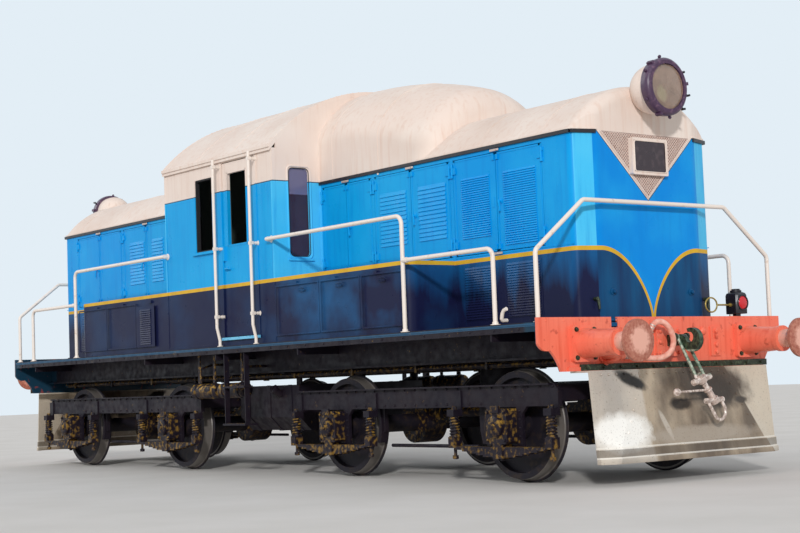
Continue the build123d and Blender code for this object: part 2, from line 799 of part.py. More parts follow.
def coupling():
    """Draw hook with its screw coupling hanging askew from it, at the front."""
    link_y = hook_thickness / 2 + link_bar_radius + 6
    pin = ahead((link_pin_reach, 0, buffer_z + link_pin_rise))
    nut, cross = ahead(coupling_nut), ahead(coupling_bar)
    end, ball = ahead(coupling_end), ahead(coupling_ball)
    screw = cross - nut
    across = Vector(0, 1, 0.25).normalized()
    links = bar("Y", pin, link_bar_radius + 4, 2 * (link_y + link_bar_radius + 4))
    links += rod(nut - across * coupling_bar_half, nut + across * coupling_bar_half, screw_radius + 3)
    for sign in (-1, 1):
        eye = Vector(nut.X, nut.Y + sign * link_y, nut.Z + sign * 12)
        links += rod(Vector(pin.X, sign * link_y, pin.Z), eye, link_bar_radius)
    links += rod(nut - screw * 0.25, cross, screw_radius)
    level = Vector(0, 1, 0.04).normalized()
    links += rod(cross - level * coupling_bar_half, cross + level * coupling_bar_half, screw_radius)
    arm = level * (coupling_bar_half - 24)
    shackle = [cross - arm, end - arm, end + arm, cross + arm]
    links += tube_along(shackle, link_bar_radius, coupling_bar_half - 30)
    links += rod(nut + screw * 0.5, ball, link_bar_radius - 4)
    return hook() + links + Pos(*ball) * Sphere(ball_radius)


def hose_head():
    """The brake hose's free head, parked on a bracket of the headstock."""
    top = ahead(hose_route[0])
    run = (ahead(hose_route[1]) - top).normalized()
    low = top - run * hose_head_length
    head = rod(low, top, hose_head_radius)
    foot = (low.Y - 30, low.Y + 30)
    return head + block((frame_end, low.X + 10), foot, (low.Z - 12, low.Z + 12))


front_coupling = [coupling(), hose_head()]
save("couplings", front_coupling + [turned(shape) for shape in front_coupling])


def plough_strip(top_z, low_z, proud):
    """Level strip of the front plough between two heights, its front face proud of the folded sheet."""
    height = headstock_bottom_z - plough_bottom_z
    levels = []
    for z in (top_z, low_z):
        share = (headstock_bottom_z - z) / height
        fold_y = plough_fold_top_y + share * (plough_fold_bottom_y - plough_fold_top_y)
        reach = plough_top_reach + share * (plough_bottom_reach - plough_top_reach)
        wing = plough_top_reach + share * (plough_wing_reach - plough_top_reach)
        front = [(frame_end + reach + proud, 0), (frame_end + reach + proud, fold_y),
                 (frame_end + wing + proud, plough_half_width)]
        back = [(x - proud - plough_thickness, y) for x, y in reversed(front)]
        levels.append(Plane.XY.offset(z) * make_face(Polyline(*front, *back, close=True)))
    return loft(levels)


def plough():
    """Folded sheet below the front headstock, with a doubled lip."""
    top_z = headstock_bottom_z
    half = plough_strip(top_z, plough_bottom_z, 0)
    for low, high, proud in plough_lips:
        half += plough_strip(plough_bottom_z + high, plough_bottom_z + low, proud)
    sheet = half + flipped(half)
    ledge = block((frame_end - 60, frame_end + plough_top_reach),
                  (-plough_half_width, plough_half_width), (top_z - 14, top_z))
    for y in plough_rib_y:
        rib = [(frame_end - 60, top_z - 10), (frame_end + plough_top_reach - 6, top_z - 10),
               (frame_end + plough_wing_reach - 20, plough_bottom_z + 120),
               (frame_end + plough_wing_reach - 60, plough_bottom_z + 120)]
        sheet += prism_y(rib, y - 8, y + 8)
    return sheet + ledge


front_plough = plough()
save("ploughs", [front_plough, turned(front_plough)])


# Side lockers: full-width boxes beside the inner half of each hood
def locker():
    """The front left locker."""
    box = block((cab_half_length, locker_end_x), (hood_half_width, locker_half_width), (deck_top_z, stripe_z))
    corner = box.edges().filter_by(Axis.Z).sort_by(lambda e: e.center().X + e.center().Y)[-1]
    box = fillet(corner, locker_corner_radius)
    for number in range(3):
        x = cab_half_length + locker_handle_x + number * locker_handle_pitch
        span = (locker_half_width - 6, locker_half_width + locker_handle_reach)
        box += block((x, x + locker_handle_length), span, (stripe_z - 90, stripe_z - 60))
    return box


save("side_lockers", four(locker()))


# Hoods: hollow shells with doorways, closed by pairs of doors
def hood_plan(inset):
    """Plan outline of the front hood, inside the outer face by some inset."""
    half = hood_half_width - inset
    face_half = hood_face_half_width - inset / 4
    start = cab_half_length
    points = [(start, half), (hood_side_end_x - inset / 4, half), (hood_face_x - inset, face_half)]
    line = points + [(x, -y) for x, y in reversed(points)]
    face = make_face(Polyline(*line, close=True))
    corners = [v for v in face.vertices() if v.X > start + 1]
    sides = [v for v in corners if abs(v.Y) > (hood_face_half_width + half) / 2]
    face = fillet(sides, hood_corner_radius - inset / 2)
    fronts = [v for v in face.vertices() if v.X > hood_face_x - inset - 1]
    return fillet(fronts, hood_face_radius)


def hood(bays):
    """The front hood shell, open where the doors of the given bays are."""
    height = gutter_z - deck_top_z
    shell = extrude(Plane.XY.offset(deck_top_z) * hood_plan(0), height)
    hollow = extrude(Plane.XY.offset(deck_top_z - 5) * hood_plan(hood_wall), height + 10)
    shell -= hollow
    rim = hood_half_width + 5
    for x0, x1 in bays:
        shell -= block((x0, x1), (-rim, rim), (door_bottom_z, door_top_z))
    pieces = [shell]
    for x0, x1 in bays:
        for x, direction in ((x0, -1), (x1, 1)):
            for z in hinge_levels:
                for low in (z - knuckle_length / 2 - 30, z + knuckle_length / 2 + seat):
                    high = low + 30 - seat
                    knuckle = bar("Z", (x, hinge_y, (low + high) / 2), hinge_radius, high - low)
                    knuckle += block((x, x + direction * 17), (hood_half_width - 1, hinge_y + 3), (low, high))
                    pieces += [knuckle, flipped(knuckle)]
    return fuse(pieces)


hinge_y = hood_half_width + hinge_radius
hinge_levels = (door_bottom_z + knuckle_inset + 30, door_top_z - knuckle_inset - 30)


def louvre(x0, x1, z0, z1, pitch):
    """Rows of slats standing out of a left door."""
    count = int((z1 - z0) / pitch)
    outline = [(hood_half_width - 4, z0)]
    for number in range(count):
        z = z0 + number * pitch
        outline += [(hood_half_width + louvre_rise, z + 1), (hood_half_width + 1, z + pitch - 1)]
    outline.append((hood_half_width - 4, z0 + count * pitch))
    return prism_x(outline, x0, x1)


def hood_leaf(end, bay, leaf):
    """One door, as it is at the front left: leaf 0 hangs on the cab side of its bay, leaf 1 on the other."""
    x0, x1 = bay_edges[bay]
    meeting = (x0 + x1) / 2
    span = (x0 + door_gap, meeting - leaf_gap / 2) if leaf == 0 else (meeting + leaf_gap / 2, x1 - door_gap)
    hinge_x = (x0, x1)[leaf]
    inward = (1, -1)[leaf]
    panel = block(span, (hood_half_width - hood_wall, hood_half_width),
                  (door_bottom_z + door_gap, door_top_z - door_gap))
    for z in hinge_levels:
        levels = (z - knuckle_length / 2 + seat, z + knuckle_length / 2 - seat)
        panel += bar("Z", (hinge_x, hinge_y, z), hinge_radius, levels[1] - levels[0])
        panel += block((hinge_x, hinge_x + inward * 50), (hood_half_width - 1, hinge_y + 3), levels)
    free_x = span[1] if leaf == 0 else span[0]
    for z in (door_bottom_z + 45, door_top_z - 45):
        centre = free_x - inward * (catch_width / 2 + 8)
        panel += block((centre - catch_width / 2, centre + catch_width / 2),
                       (hood_half_width - 1, hood_half_width + catch_height),
                       (z - catch_length / 2, z + catch_length / 2))
    if (end, bay, leaf) in louvre_table:
        panel += louvre(*louvre_table[(end, bay, leaf)])
    return panel


front_hood = hood(bay_edges)
rear_hood = turned(hood(bay_edges[1:]))
save("hood_front", front_hood)
save("hood_rear", rear_hood)
for bay in range(len(bay_edges)):
    for leaf in (0, 1):
        label = f"{bay + 1}{'ab'[leaf]}"
        door = hood_leaf("front", bay, leaf)
        save(f"hood_door_front_left_{label}", door)
        save(f"hood_door_front_right_{label}", flipped(door))
        if bay > 0:
            door = turned(hood_leaf("rear", bay, leaf))
            save(f"hood_door_rear_right_{label}", door)
            save(f"hood_door_rear_left_{label}", flipped(door))


# Hood roofs: arched across, rounded at the outer end
def arch(half_width, base_z, crown_z):
    """Segment of a circle standing on a level chord, as a face across the locomotive."""
    top = ThreePointArc((-half_width, base_z), (0, crown_z), (half_width, base_z))
    return make_face(top + Line((half_width, base_z), (-half_width, base_z)))


def hood_roof(start_x):
    """Roof of the front hood from some distance out to its rounded end."""
    section = Plane.YZ.offset(start_x) * arch(hood_half_width, gutter_z, roof_crown_z)
    body = extrude(section, hood_face_x - start_x)
    end_arc = body.faces().sort_by(Axis.X)[-1].edges().filter_by(GeomType.CIRCLE)
    body = fillet(end_arc, roof_end_radius)
    body = body & extrude(Plane.XY.offset(gutter_z - 5) * hood_plan(0), hood_roof_rise + past)
    drip = extrude(Plane.XY.offset(gutter_z) * hood_plan(-gutter_overhang), gutter_height)
    levels = (gutter_z - 1, gutter_z + gutter_height + past)
    wide = hood_half_width + past
    drip = drip & block((start_x, hood_face_x + past), (-wide, wide), levels)
    face = (-hood_face_half_width, hood_face_half_width)
    drip -= block((hood_side_end_x - 60, hood_face_x + past), face, levels)
    return body + drip


def headlight_drum(play, front_x):
    """Drum with a bowl-shaped back, from that back to some distance out."""
    back_x = headlight_front_x - bezel_length - headlight_drum_length
    drum = bar("X", ((back_x + front_x) / 2, 0, headlight_z), headlight_drum_radius + play, front_x - back_x)
    return fillet(drum.edges().group_by(Axis.X)[0], headlight_bowl_radius + play)


def fairing():
    """The tall fairing from the cab to the middle of the front hood."""
    half = fairing_half_width
    low_z = gutter_z - 100
    outline = ThreePointArc((-half, fairing_shoulder_z), (0, fairing_crown_z), (half, fairing_shoulder_z))
    outline += Polyline((half, fairing_shoulder_z), (half, low_z), (-half, low_z), (-half, fairing_shoulder_z))
    section = make_face(outline)
    shoulders = [v for v in section.vertices() if v.Y > low_z + 1]
    section = Plane.YZ.offset(fairing_level_end_x) * fillet(shoulders, fairing_shoulder_radius)
    body = extrude(section, cab_half_length - fairing_level_end_x)
    axis = Axis((fairing_level_end_x, 0, fairing_crown_z - fairing_drop_radius), (0, 1, 0))
    body += revolve(section, axis, 35)
    wide = half + past
    body = body & block((cab_half_length, fairing_end_x), (-wide, wide), (gutter_z, fairing_crown_z + past))
    end_face = body.faces().sort_by(Axis.X)[-1]
    return fillet(end_face.edges().sort_by(Axis.Z)[1:], fairing_end_radius)


tall_fairing = fairing()
drum_space = headlight_drum(seat, headlight_front_x)
front_roof = hood_roof(fairing_end_x - fairing_end_radius) - tall_fairing - drum_space
rear_roof = turned(hood_roof(cab_half_length) - drum_space)
save("roof_fairing", tall_fairing)
save("hood_roofs", [front_roof, rear_roof])


# Number boxes and headlights
def number_box():
    """Framed box on the front hood's face, with a sunk panel."""
    box = block((hood_face_x, hood_face_x + number_box_reach),
                (-number_box_half_width, number_box_half_width),
                (number_box_bottom_z, number_box_top_z))
    box = fillet(box.edges().filter_by(Axis.X), 14)
    margin = number_glass_margin
    front = hood_face_x + number_box_reach
    return box - block((front - number_glass_depth, front + 5),
                       (-number_box_half_width + margin, number_box_half_width - margin),
                       (number_box_bottom_z + margin, number_box_top_z - margin))


def headlight():
    """Drum with its bezel, open at the front for the lens."""
    bezel_x = headlight_front_x - bezel_length
    drum = headlight_drum(0, bezel_x)
    bezel = bar("X", (bezel_x + bezel_length / 2, 0, headlight_z), bezel_radius, bezel_length)
    bezel = chamfer(bezel.edges().group_by(Axis.X)[-1], 16)
    body = drum + bezel
    for turn in (40, 160, 280):
        lug = block((bezel_x + 10, headlight_front_x - 12), (-14, 14), (bezel_radius - 8, bezel_radius + 24))
        body += Pos(0, 0, headlight_z) * Rot(turn, 0, 0) * lug
    return body - bar("X", (headlight_front_x, 0, headlight_z), lens_radius + seat, 100)


def lens():
    """Glass of the front headlight."""
    back = headlight_front_x - 50
    return bar("X", (back + lens_thickness / 2, 0, headlight_z), lens_radius, lens_thickness)


save("number_boxes", [number_box(), turned(number_box())])
save("headlights", [headlight(), turned(headlight())])
save("headlight_lenses", [lens(), turned(lens())])


# Cab: two end walls, two sides, roof, doors
roof_half_chord = locker_half_width + cab_roof_overhang
roof_radius = (roof_half_chord ** 2 + cab_roof_rise ** 2) / (2 * cab_roof_rise)
roof_centre_z = cab_crown_z - roof_radius
inner_radius = roof_radius - cab_roof_thickness


def under_roof(y):
    """Height of the roof's underside at some distance from the centreline."""
    return roof_centre_z + sqrt(inner_radius ** 2 - y ** 2)


side_top_z = under_roof(locker_half_width) - seat
wall_inner_y = locker_half_width - cab_wall


def cab_end_wall():
    """The front end wall, between the sides, with two tall windows."""
    corner_z = under_roof(wall_inner_y) - seat
    top = ThreePointArc((-wall_inner_y, corner_z), (0, under_roof(0) - seat), (wall_inner_y, corner_z))
    outline = top + Line((wall_inner_y, corner_z), (wall_inner_y, deck_top_z))
    outline += Line((wall_inner_y, deck_top_z), (-wall_inner_y, deck_top_z))
    outline += Line((-wall_inner_y, deck_top_z), (-wall_inner_y, corner_z))
    wall = extrude(Plane.YZ.offset(cab_half_length - cab_wall) * make_face(outline), cab_wall)
    for sign in (-1, 1):
        wall -= end_window(sign, 0, cab_wall + 10)
    return wall


def end_window(sign, play, depth):
    """Rounded block that fills one window of the front end wall."""
    inner = end_window_inner_y + play
    span = (sign * inner, sign * (end_window_inner_y + end_window_width - play))
    middle = cab_half_length - cab_wall / 2
    opening = block((middle - depth / 2, middle + depth / 2), span,
                    (end_window_bottom_z + play, end_window_bottom_z + end_window_height - play))
    return fillet(opening.edges().filter_by(Axis.X), end_window_radius - play)


def cab_side():
    """The right side, with its door opening and window."""
    wall = block((-cab_half_length, cab_half_length), (-locker_half_width, -wall_inner_y),
                 (deck_top_z, side_top_z))
    reach = (-locker_half_width - 10, -wall_inner_y + 10)
    wall -= block((cab_door_x, cab_door_x + cab_door_width), reach, (cab_door_bottom_z, cab_door_top_z))
    window = block((side_window_x, side_window_x + side_window_length), reach,
                   (side_window_bottom_z, side_window_bottom_z + side_window_height))
    wall -= fillet(window.edges().filter_by(Axis.Y), 20)
    hinge_x = cab_door_x + cab_door_width
    for z in cab_hinge_levels:
        for low in (z - knuckle_length / 2 - 30, z + knuckle_length / 2 + seat):
            high = low + 30 - seat
            wall += bar("Z", (hinge_x, cab_hinge_y, (low + high) / 2), hinge_radius, high - low)
            wall += block((hinge_x, hinge_x + 30), (-wall_inner_y - 1, cab_hinge_y + 3), (low, high))
    return wall


cab_hinge_y = -wall_inner_y + hinge_radius
cab_hinge_middle_z = (cab_door_bottom_z + cab_door_top_z) / 2 - 100
cab_hinge_levels = (cab_door_bottom_z + 180, cab_hinge_middle_z, cab_door_top_z - 180)


def cab_door():
    """The right door, hinged at its front edge to open inwards."""
    x0 = cab_door_x
    x1 = x0 + cab_door_width
    leaf = block((x0 + door_gap + 2, x1 - door_gap), (-wall_inner_y - cab_door_thickness, -wall_inner_y),
                 (cab_door_bottom_z + door_gap, cab_door_top_z - door_gap))
    window = block((x0 + door_window_inset, x0 + door_window_inset + door_window_length),
                   (-wall_inner_y - 100, -wall_inner_y + 100), (door_window_bottom_z, door_window_top_z))
    leaf -= fillet(window.edges().filter_by(Axis.Y), 20)
    for z in cab_hinge_levels:
        levels = (z - knuckle_length / 2 + seat, z + knuckle_length / 2 - seat)
        leaf += bar("Z", (x1, cab_hinge_y, z), hinge_radius, levels[1] - levels[0])
        leaf += block((x1 - 60, x1), (-wall_inner_y - 1, cab_hinge_y + 3), levels)
    face_y = -wall_inner_y - cab_door_thickness
    grip_z = (door_window_bottom_z - 160, door_window_bottom_z - 10)
    return leaf + block((x0 + 30, x0 + 50), (face_y - 30, face_y + 1), grip_z)


def cab_roof():
    """Arched roof sheet with its gutters."""
    half, low_z = roof_half_chord, under_roof(roof_half_chord)
    outer = ThreePointArc((-half, cab_gutter_z), (0, cab_crown_z), (half, cab_gutter_z))
    inner = ThreePointArc((-half, low_z), (0, under_roof(0)), (half, low_z))
    face = make_face(outer + inner + Line(outer @ 0, inner @ 0) + Line(outer @ 1, inner @ 1))
    return extrude(Plane.YZ.offset(-cab_half_length) * face, 2 * cab_half_length)


right_side = cab_side()
save("cab_side_right", right_side)
save("cab_side_left", turned(right_side))
save("cab_end_walls", [cab_end_wall(), turned(cab_end_wall())])
save("cab_roof", cab_roof())
save("cab_door_right", cab_door())
save("cab_door_left", turned(cab_door()))
panes = [end_window(sign, seat, glass_thickness) for sign in (-1, 1)]
save("cab_windows", panes + [turned(pane) for pane in panes])


def cab_fittings():
    """Control desk in the middle with a seat by each side window."""
    x, y = desk_half_length, desk_half_width
    rim_z = deck_top_z + desk_rim_height
    outline = [(-x, deck_top_z), (x, deck_top_z), (x, rim_z), (0.6 * x, rim_z + desk_slope_rise),
               (-0.6 * x, rim_z + desk_slope_rise), (-x, rim_z)]
    desk = prism_y(outline, -y, y)
    half = seat_size / 2
    top_z = deck_top_z + seat_height
    chair = bar("Z", (seat_x, -seat_y, deck_top_z + seat_height / 2), 40, seat_height)
    chair += block((seat_x - half, seat_x + half), (-seat_y - half, -seat_y + half), (top_z - 1, top_z + 90))
    back = (seat_x - half, seat_x - half + 60)
    chair += block(back, (-seat_y - half, -seat_y + half), (top_z + 40, top_z + seat_back_height))
    return [desk, chair, turned(chair)]


save("cab_fittings", cab_fittings())
save("engine", block(engine_x, (-engine_half_width, engine_half_width), (deck_top_z, engine_top_z)))


# Handrails
def side_rails():
    """High and low rail beside the front left locker and hood."""
    high = [
        (cab_half_length - 60, rail_y, high_rail_z),
        (inner_post_x, rail_y, high_rail_z),
        (inner_post_x, rail_y, deck_top_z),
    ]
    low = [
        (inner_post_x, rail_y, low_rail_z),
        (outer_post_x, rail_y, low_rail_z),
        (outer_post_x, rail_y, deck_top_z),
    ]
    rail = tube_along(high, rail_radius, rail_bend) + tube_along(low, rail_radius, rail_bend)
    stub = (rail_y + locker_half_width) / 2
    return rail + bar("Y", (cab_half_length - 42, stub, high_rail_z), rail_radius, rail_y - locker_half_width)


arch_x = inside_end - rail_radius - arch_gap


def end_arch():
    """Rail across the front end."""
    half = [(arch_post_y, deck_top_z), (arch_post_y, arch_shoulder_z), (arch_bar_y, arch_bar_z)]
    line = half + [(-y, z) for y, z in reversed(half)]
    return tube_along([(arch_x, y, z) for y, z in line], rail_radius, 60)


def door_pole(x):
    """Grab pole beside the right cab door, from the gutter to the footplate."""
    foot_y = -frame_half_width + pole_radius + 2
    points = [(x, -pole_y, side_top_z), (x, -pole_y, deck_top_z + 190), (x, foot_y, deck_top_z + 60),
              (x, foot_y, deck_top_z)]
    pole = tube_along(points, pole_radius, 20)
    for z in pole_bracket_z:
        stub = (pole_y + locker_half_width) / 2
        pole += bar("Y", (x, -stub, z), 12, pole_y - locker_half_width)
    return pole


poles = [door_pole(x) for x in (cab_door_x - 20, cab_door_x + cab_door_width + 20)]
rails = four(side_rails()) + [end_arch(), turned(end_arch())]
save("handrails", rails + poles + [turned(pole) for pole in poles])


# Below the footplate
def fuel_tank():
    """Tank between the bogies, hung from the sole bars."""
    c = tank_corner
    top = frame_bottom_z
    side = [
        (tank_half_width - c, tank_bottom_z),
        (tank_half_width, tank_bottom_z + c),
        (tank_half_width, top - 130),
    ]
    outline = side + [(-y, z) for y, z in reversed(side)]
    tank = prism_x(outline, -tank_half_length, tank_half_length)
    for x in (-tank_half_length + 60, tank_half_length - 60):
        for sign in (-1, 1):
            y0 = sign * (tank_half_width - 60)
            tank += block((x - 40, x + 40), (y0, sign * (sole_bar_y + 60)), (top - 16, top))
            tank += block((x - 40, x + 40), (y0, y0 + sign * 20), (top - 160, top))
    return tank


def reservoirs():
    """Two air reservoirs under the right edge of the footplate, each in two straps."""
    pieces = []
    for x0, x1 in reservoir_x:
        tank = bar("X", ((x0 + x1) / 2, -reservoir_y, reservoir_z), reservoir_radius, x1 - x0)
        tank = fillet(tank.edges().filter_by(GeomType.CIRCLE), 30)
        for x in (x0 + 90, x1 - 90):
            tank += bar("X", (x, -reservoir_y, reservoir_z), reservoir_radius + 6, strap_width)
            tank += block((x - strap_width / 2, x + strap_width / 2), (-reservoir_y - 6, -reservoir_y + 6),
                          (reservoir_z, deck_bottom_z))
        pieces.append(tank)
    return pieces


def cab_steps():
    """Two treads between hangers below the right cab door."""
    pieces = []
    for x in step_x:
        span = (x - step_hanger_thickness / 2, x + step_hanger_thickness / 2)
        edge = frame_half_width - valance_thickness - 8
        pieces.append(block(span, (-edge, -edge + step_hanger_width), (step_levels[0][0] - 18, deck_bottom_z)))
    for top, width in step_levels:
        edge = frame_half_width
        span = (step_x[0] - 20, step_x[1] + 20)
        pieces.append(block(span, (-edge, -edge + width), (top - step_tread_thickness, top)))
    return fuse(pieces)


save("fuel_tank", fuel_tank())
save("air_reservoirs", reservoirs() + [turned(piece) for piece in reservoirs()])
save("cab_steps", [cab_steps(), turned(cab_steps())])


def tail_lamp():
    """Lamp standing on the front headstock, with a red lens ahead."""
    half = lamp_size / 2
    bottom = headstock_top_z
    body = block((lamp_x - half, lamp_x + half), (lamp_y - half, lamp_y + half),
                 (bottom + 20, bottom + lamp_height))
    body += block((lamp_x - 20, lamp_x + 20), (lamp_y - 30, lamp_y + 30), (bottom, bottom + 21))
    body += bar("Z", (lamp_x, lamp_y, bottom + lamp_height + 14), 50, 30)
    return body + bar("X", (lamp_x + half + 6, lamp_y, bottom + 115), lamp_lens_radius, 16)


save("tail_lamp", tail_lamp())


def hose():
    """Brake hose from its parked head, looped down to its pipe, at the front."""
    points = [ahead(place) for place in hose_route]
    bends = []
    for before, at, after in zip(points, points[1:], points[2:]):
        run = min((at - before).length, (after - at).length)
        turn = (at - before).get_angle(after - at)
        bends.append(0.45 * run / tan(radians(turn / 2)))
    return tube_along(points, hose_radius, bends)


front_hose = hose()
save("brake_hose_front", front_hose)
save("brake_hose_rear", turned(front_hose))
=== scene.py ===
from math import asin, cos, pi, radians, sin, sqrt

import bpy
from bpy.props import FloatProperty, FloatVectorProperty, IntProperty, PointerProperty
from mathutils import Matrix, Vector


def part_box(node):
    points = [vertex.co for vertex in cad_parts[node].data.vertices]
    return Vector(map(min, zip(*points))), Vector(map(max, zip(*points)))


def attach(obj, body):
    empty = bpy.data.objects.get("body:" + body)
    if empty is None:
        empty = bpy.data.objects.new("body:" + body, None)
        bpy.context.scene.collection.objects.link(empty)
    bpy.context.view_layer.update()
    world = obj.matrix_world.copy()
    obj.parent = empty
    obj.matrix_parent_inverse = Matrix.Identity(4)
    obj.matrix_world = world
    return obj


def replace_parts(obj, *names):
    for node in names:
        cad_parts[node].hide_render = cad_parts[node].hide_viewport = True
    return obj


bl_info = {
    "name": "Diesel locomotive dressing",
    "version": (1, 0, 0),
    "blender": (4, 5, 0),
    "location": "3D View > Sidebar > Locomotive",
    "description": "Adds paint, trim and small fittings to a packed centre-cab diesel locomotive",
    "category": "Object",
}

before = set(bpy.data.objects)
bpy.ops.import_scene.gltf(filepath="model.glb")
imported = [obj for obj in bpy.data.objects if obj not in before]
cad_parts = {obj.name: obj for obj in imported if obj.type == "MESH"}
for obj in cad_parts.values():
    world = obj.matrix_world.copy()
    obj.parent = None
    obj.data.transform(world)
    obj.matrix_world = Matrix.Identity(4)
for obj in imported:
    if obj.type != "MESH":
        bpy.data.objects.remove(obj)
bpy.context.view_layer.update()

# X runs forward along the track, Y to the left and Z up, in metres.
AHEAD, LEFT, RIGHT, UP = (1, 0, 0), (0, 1, 0), (0, -1, 0), (0, 0, 1)
TURN = Matrix.Rotation(pi, 4, "Z")
FLIP = Matrix.Scale(-1, 4, Vector(LEFT))
WHOLE = Matrix.Identity(4)
CORNERS = (WHOLE, FLIP, TURN, TURN @ FLIP)
ENDS = (WHOLE, TURN)

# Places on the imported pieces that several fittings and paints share
DECK = 1.311  # top of the footplate
HOOD_SIDE, CAB_SIDE = 0.814, 1.378  # outer faces of the side sheets
FACE_X, CORNER_X = 4.742, 4.670  # a hood's end face, and where its angled corner starts
HALF_FACE = 0.581  # half the width of the end face
GUTTER_Z, CROWN_Z = 2.904, 3.320  # a hood's roof
BUFFER_Y, BUFFER_Z = 0.978, 1.133
BOGIE_X, AXLE_X, AXLE_Z = 2.8, 1.22, 0.485  # a bogie's pin, and an axle before or behind it
PIPE_Z = 0.985  # brake pipe on the headstock
PLOUGH_TOP, PLOUGH_FOOT = (5.025, 0, 0.915), (5.165, 0, 0.180)  # middle of a plough's sheet


def linear(code):
    """Turns an sRGB hex colour such as #0A9BE3 into the linear colour that the nodes take."""
    parts = [int(code[i:i + 2], 16) / 255 for i in (1, 3, 5)]
    return (*(c / 12.92 if c <= 0.04045 else ((c + 0.055) / 1.055) ** 2.4 for c in parts), 1.0)


def paint(name, code, description):
    """A colour that a user may change."""
    return FloatVectorProperty(name=name, description=description, subtype="COLOR", size=4,
                               default=linear(code), min=0, max=1)


def size(name, default, description):
    """A length in metres that a user may change."""
    return FloatProperty(name=name, description=description, default=default, min=0.0001, unit="LENGTH")


class LocoPaints(bpy.types.PropertyGroup):
    """Colours of the locomotive."""

    sky: paint("Sky blue", "#0096E0", "Enamel above the stripe")
    navy: paint("Dark blue", "#171B3C", "Enamel below the stripe")
    teal: paint("Teal blue", "#145488", "Enamel of the hoods' outer parts below the stripe")
    stripe: paint("Stripe yellow", "#DCAE2E", "Waist stripe and the two arcs on each end")
    cream: paint("Cream", "#E6D4C8", "Roofs, fairing and the upper cab")
    vermilion: paint("Orange-red", "#F0745A", "Headstocks and buffer housings")
    rails: paint("Rail white", "#E9DDD2", "Handrails and grab poles")
    bezel: paint("Bezel purple-brown", "#48304A", "Headlight bezels")
    # frame black is darker than the paint alone: it also holds painted shade under the body
    frame_black_and_shade: paint("Frame black", "#17111C", "Underframe and bogies")
    # brassy dust, which on upward faces also stands for painted brassy highlights
    brass_dust_and_highlight: paint("Brassy dust", "#C4973A", "Gold-brown oil and brake dust on the running gear")
    lining: paint("Cab lining", "#4A5450", "Inside of the cab and hoods")


class LocoLivery(bpy.types.PropertyGroup):
    """Where one colour meets the next."""

    stripe_top: size("Stripe top", 1.939, "Height of the stripe's upper edge")
    stripe_width: size("Stripe width", 0.036, "Height of the stripe")
    cream_line: size("Cream line", 2.904, "Height above which the body is cream")
    vee_tip: size("V tip", 2.338, "Height of the lower point of the cream V")
    arc_foot: size("Arc foot", 1.366, "Height at which the two arcs meet")


class LocoTrim(bpy.types.PropertyGroup):
    """Sizes of the small fittings."""

    rivet: size("Rivet", 0.016, "Diameter of a snap-head rivet")
    mesh_pitch: size("Mesh pitch", 0.020, "Spacing of the wires of the front grille")
    mesh_wire: size("Mesh wire", 0.005, "Thickness of a grille wire")
    hose: size("Hose", 0.048, "Outside diameter of a brake hose")
    coil_turns: IntProperty(name="Coil turns", description="Turns of each hanger spring", default=6, min=2)


def circle(count):
    """The angles of points spaced evenly round a circle."""
    return [2 * pi * i / count for i in range(count)]


def bands(rows, sides, looped=False):
    """Faces between rings of points, with a lid at each end unless the last ring joins the first."""
    faces = []
    for row in range(rows if looped else rows - 1):
        low, high = row * sides, (row + 1) % rows * sides
        faces += [(low + i, low + (i + 1) % sides, high + (i + 1) % sides, high + i)
                  for i in range(sides)]
    if not looped:
        faces += [tuple(range(sides))[::-1], tuple(range((rows - 1) * sides, rows * sides))]
    return faces


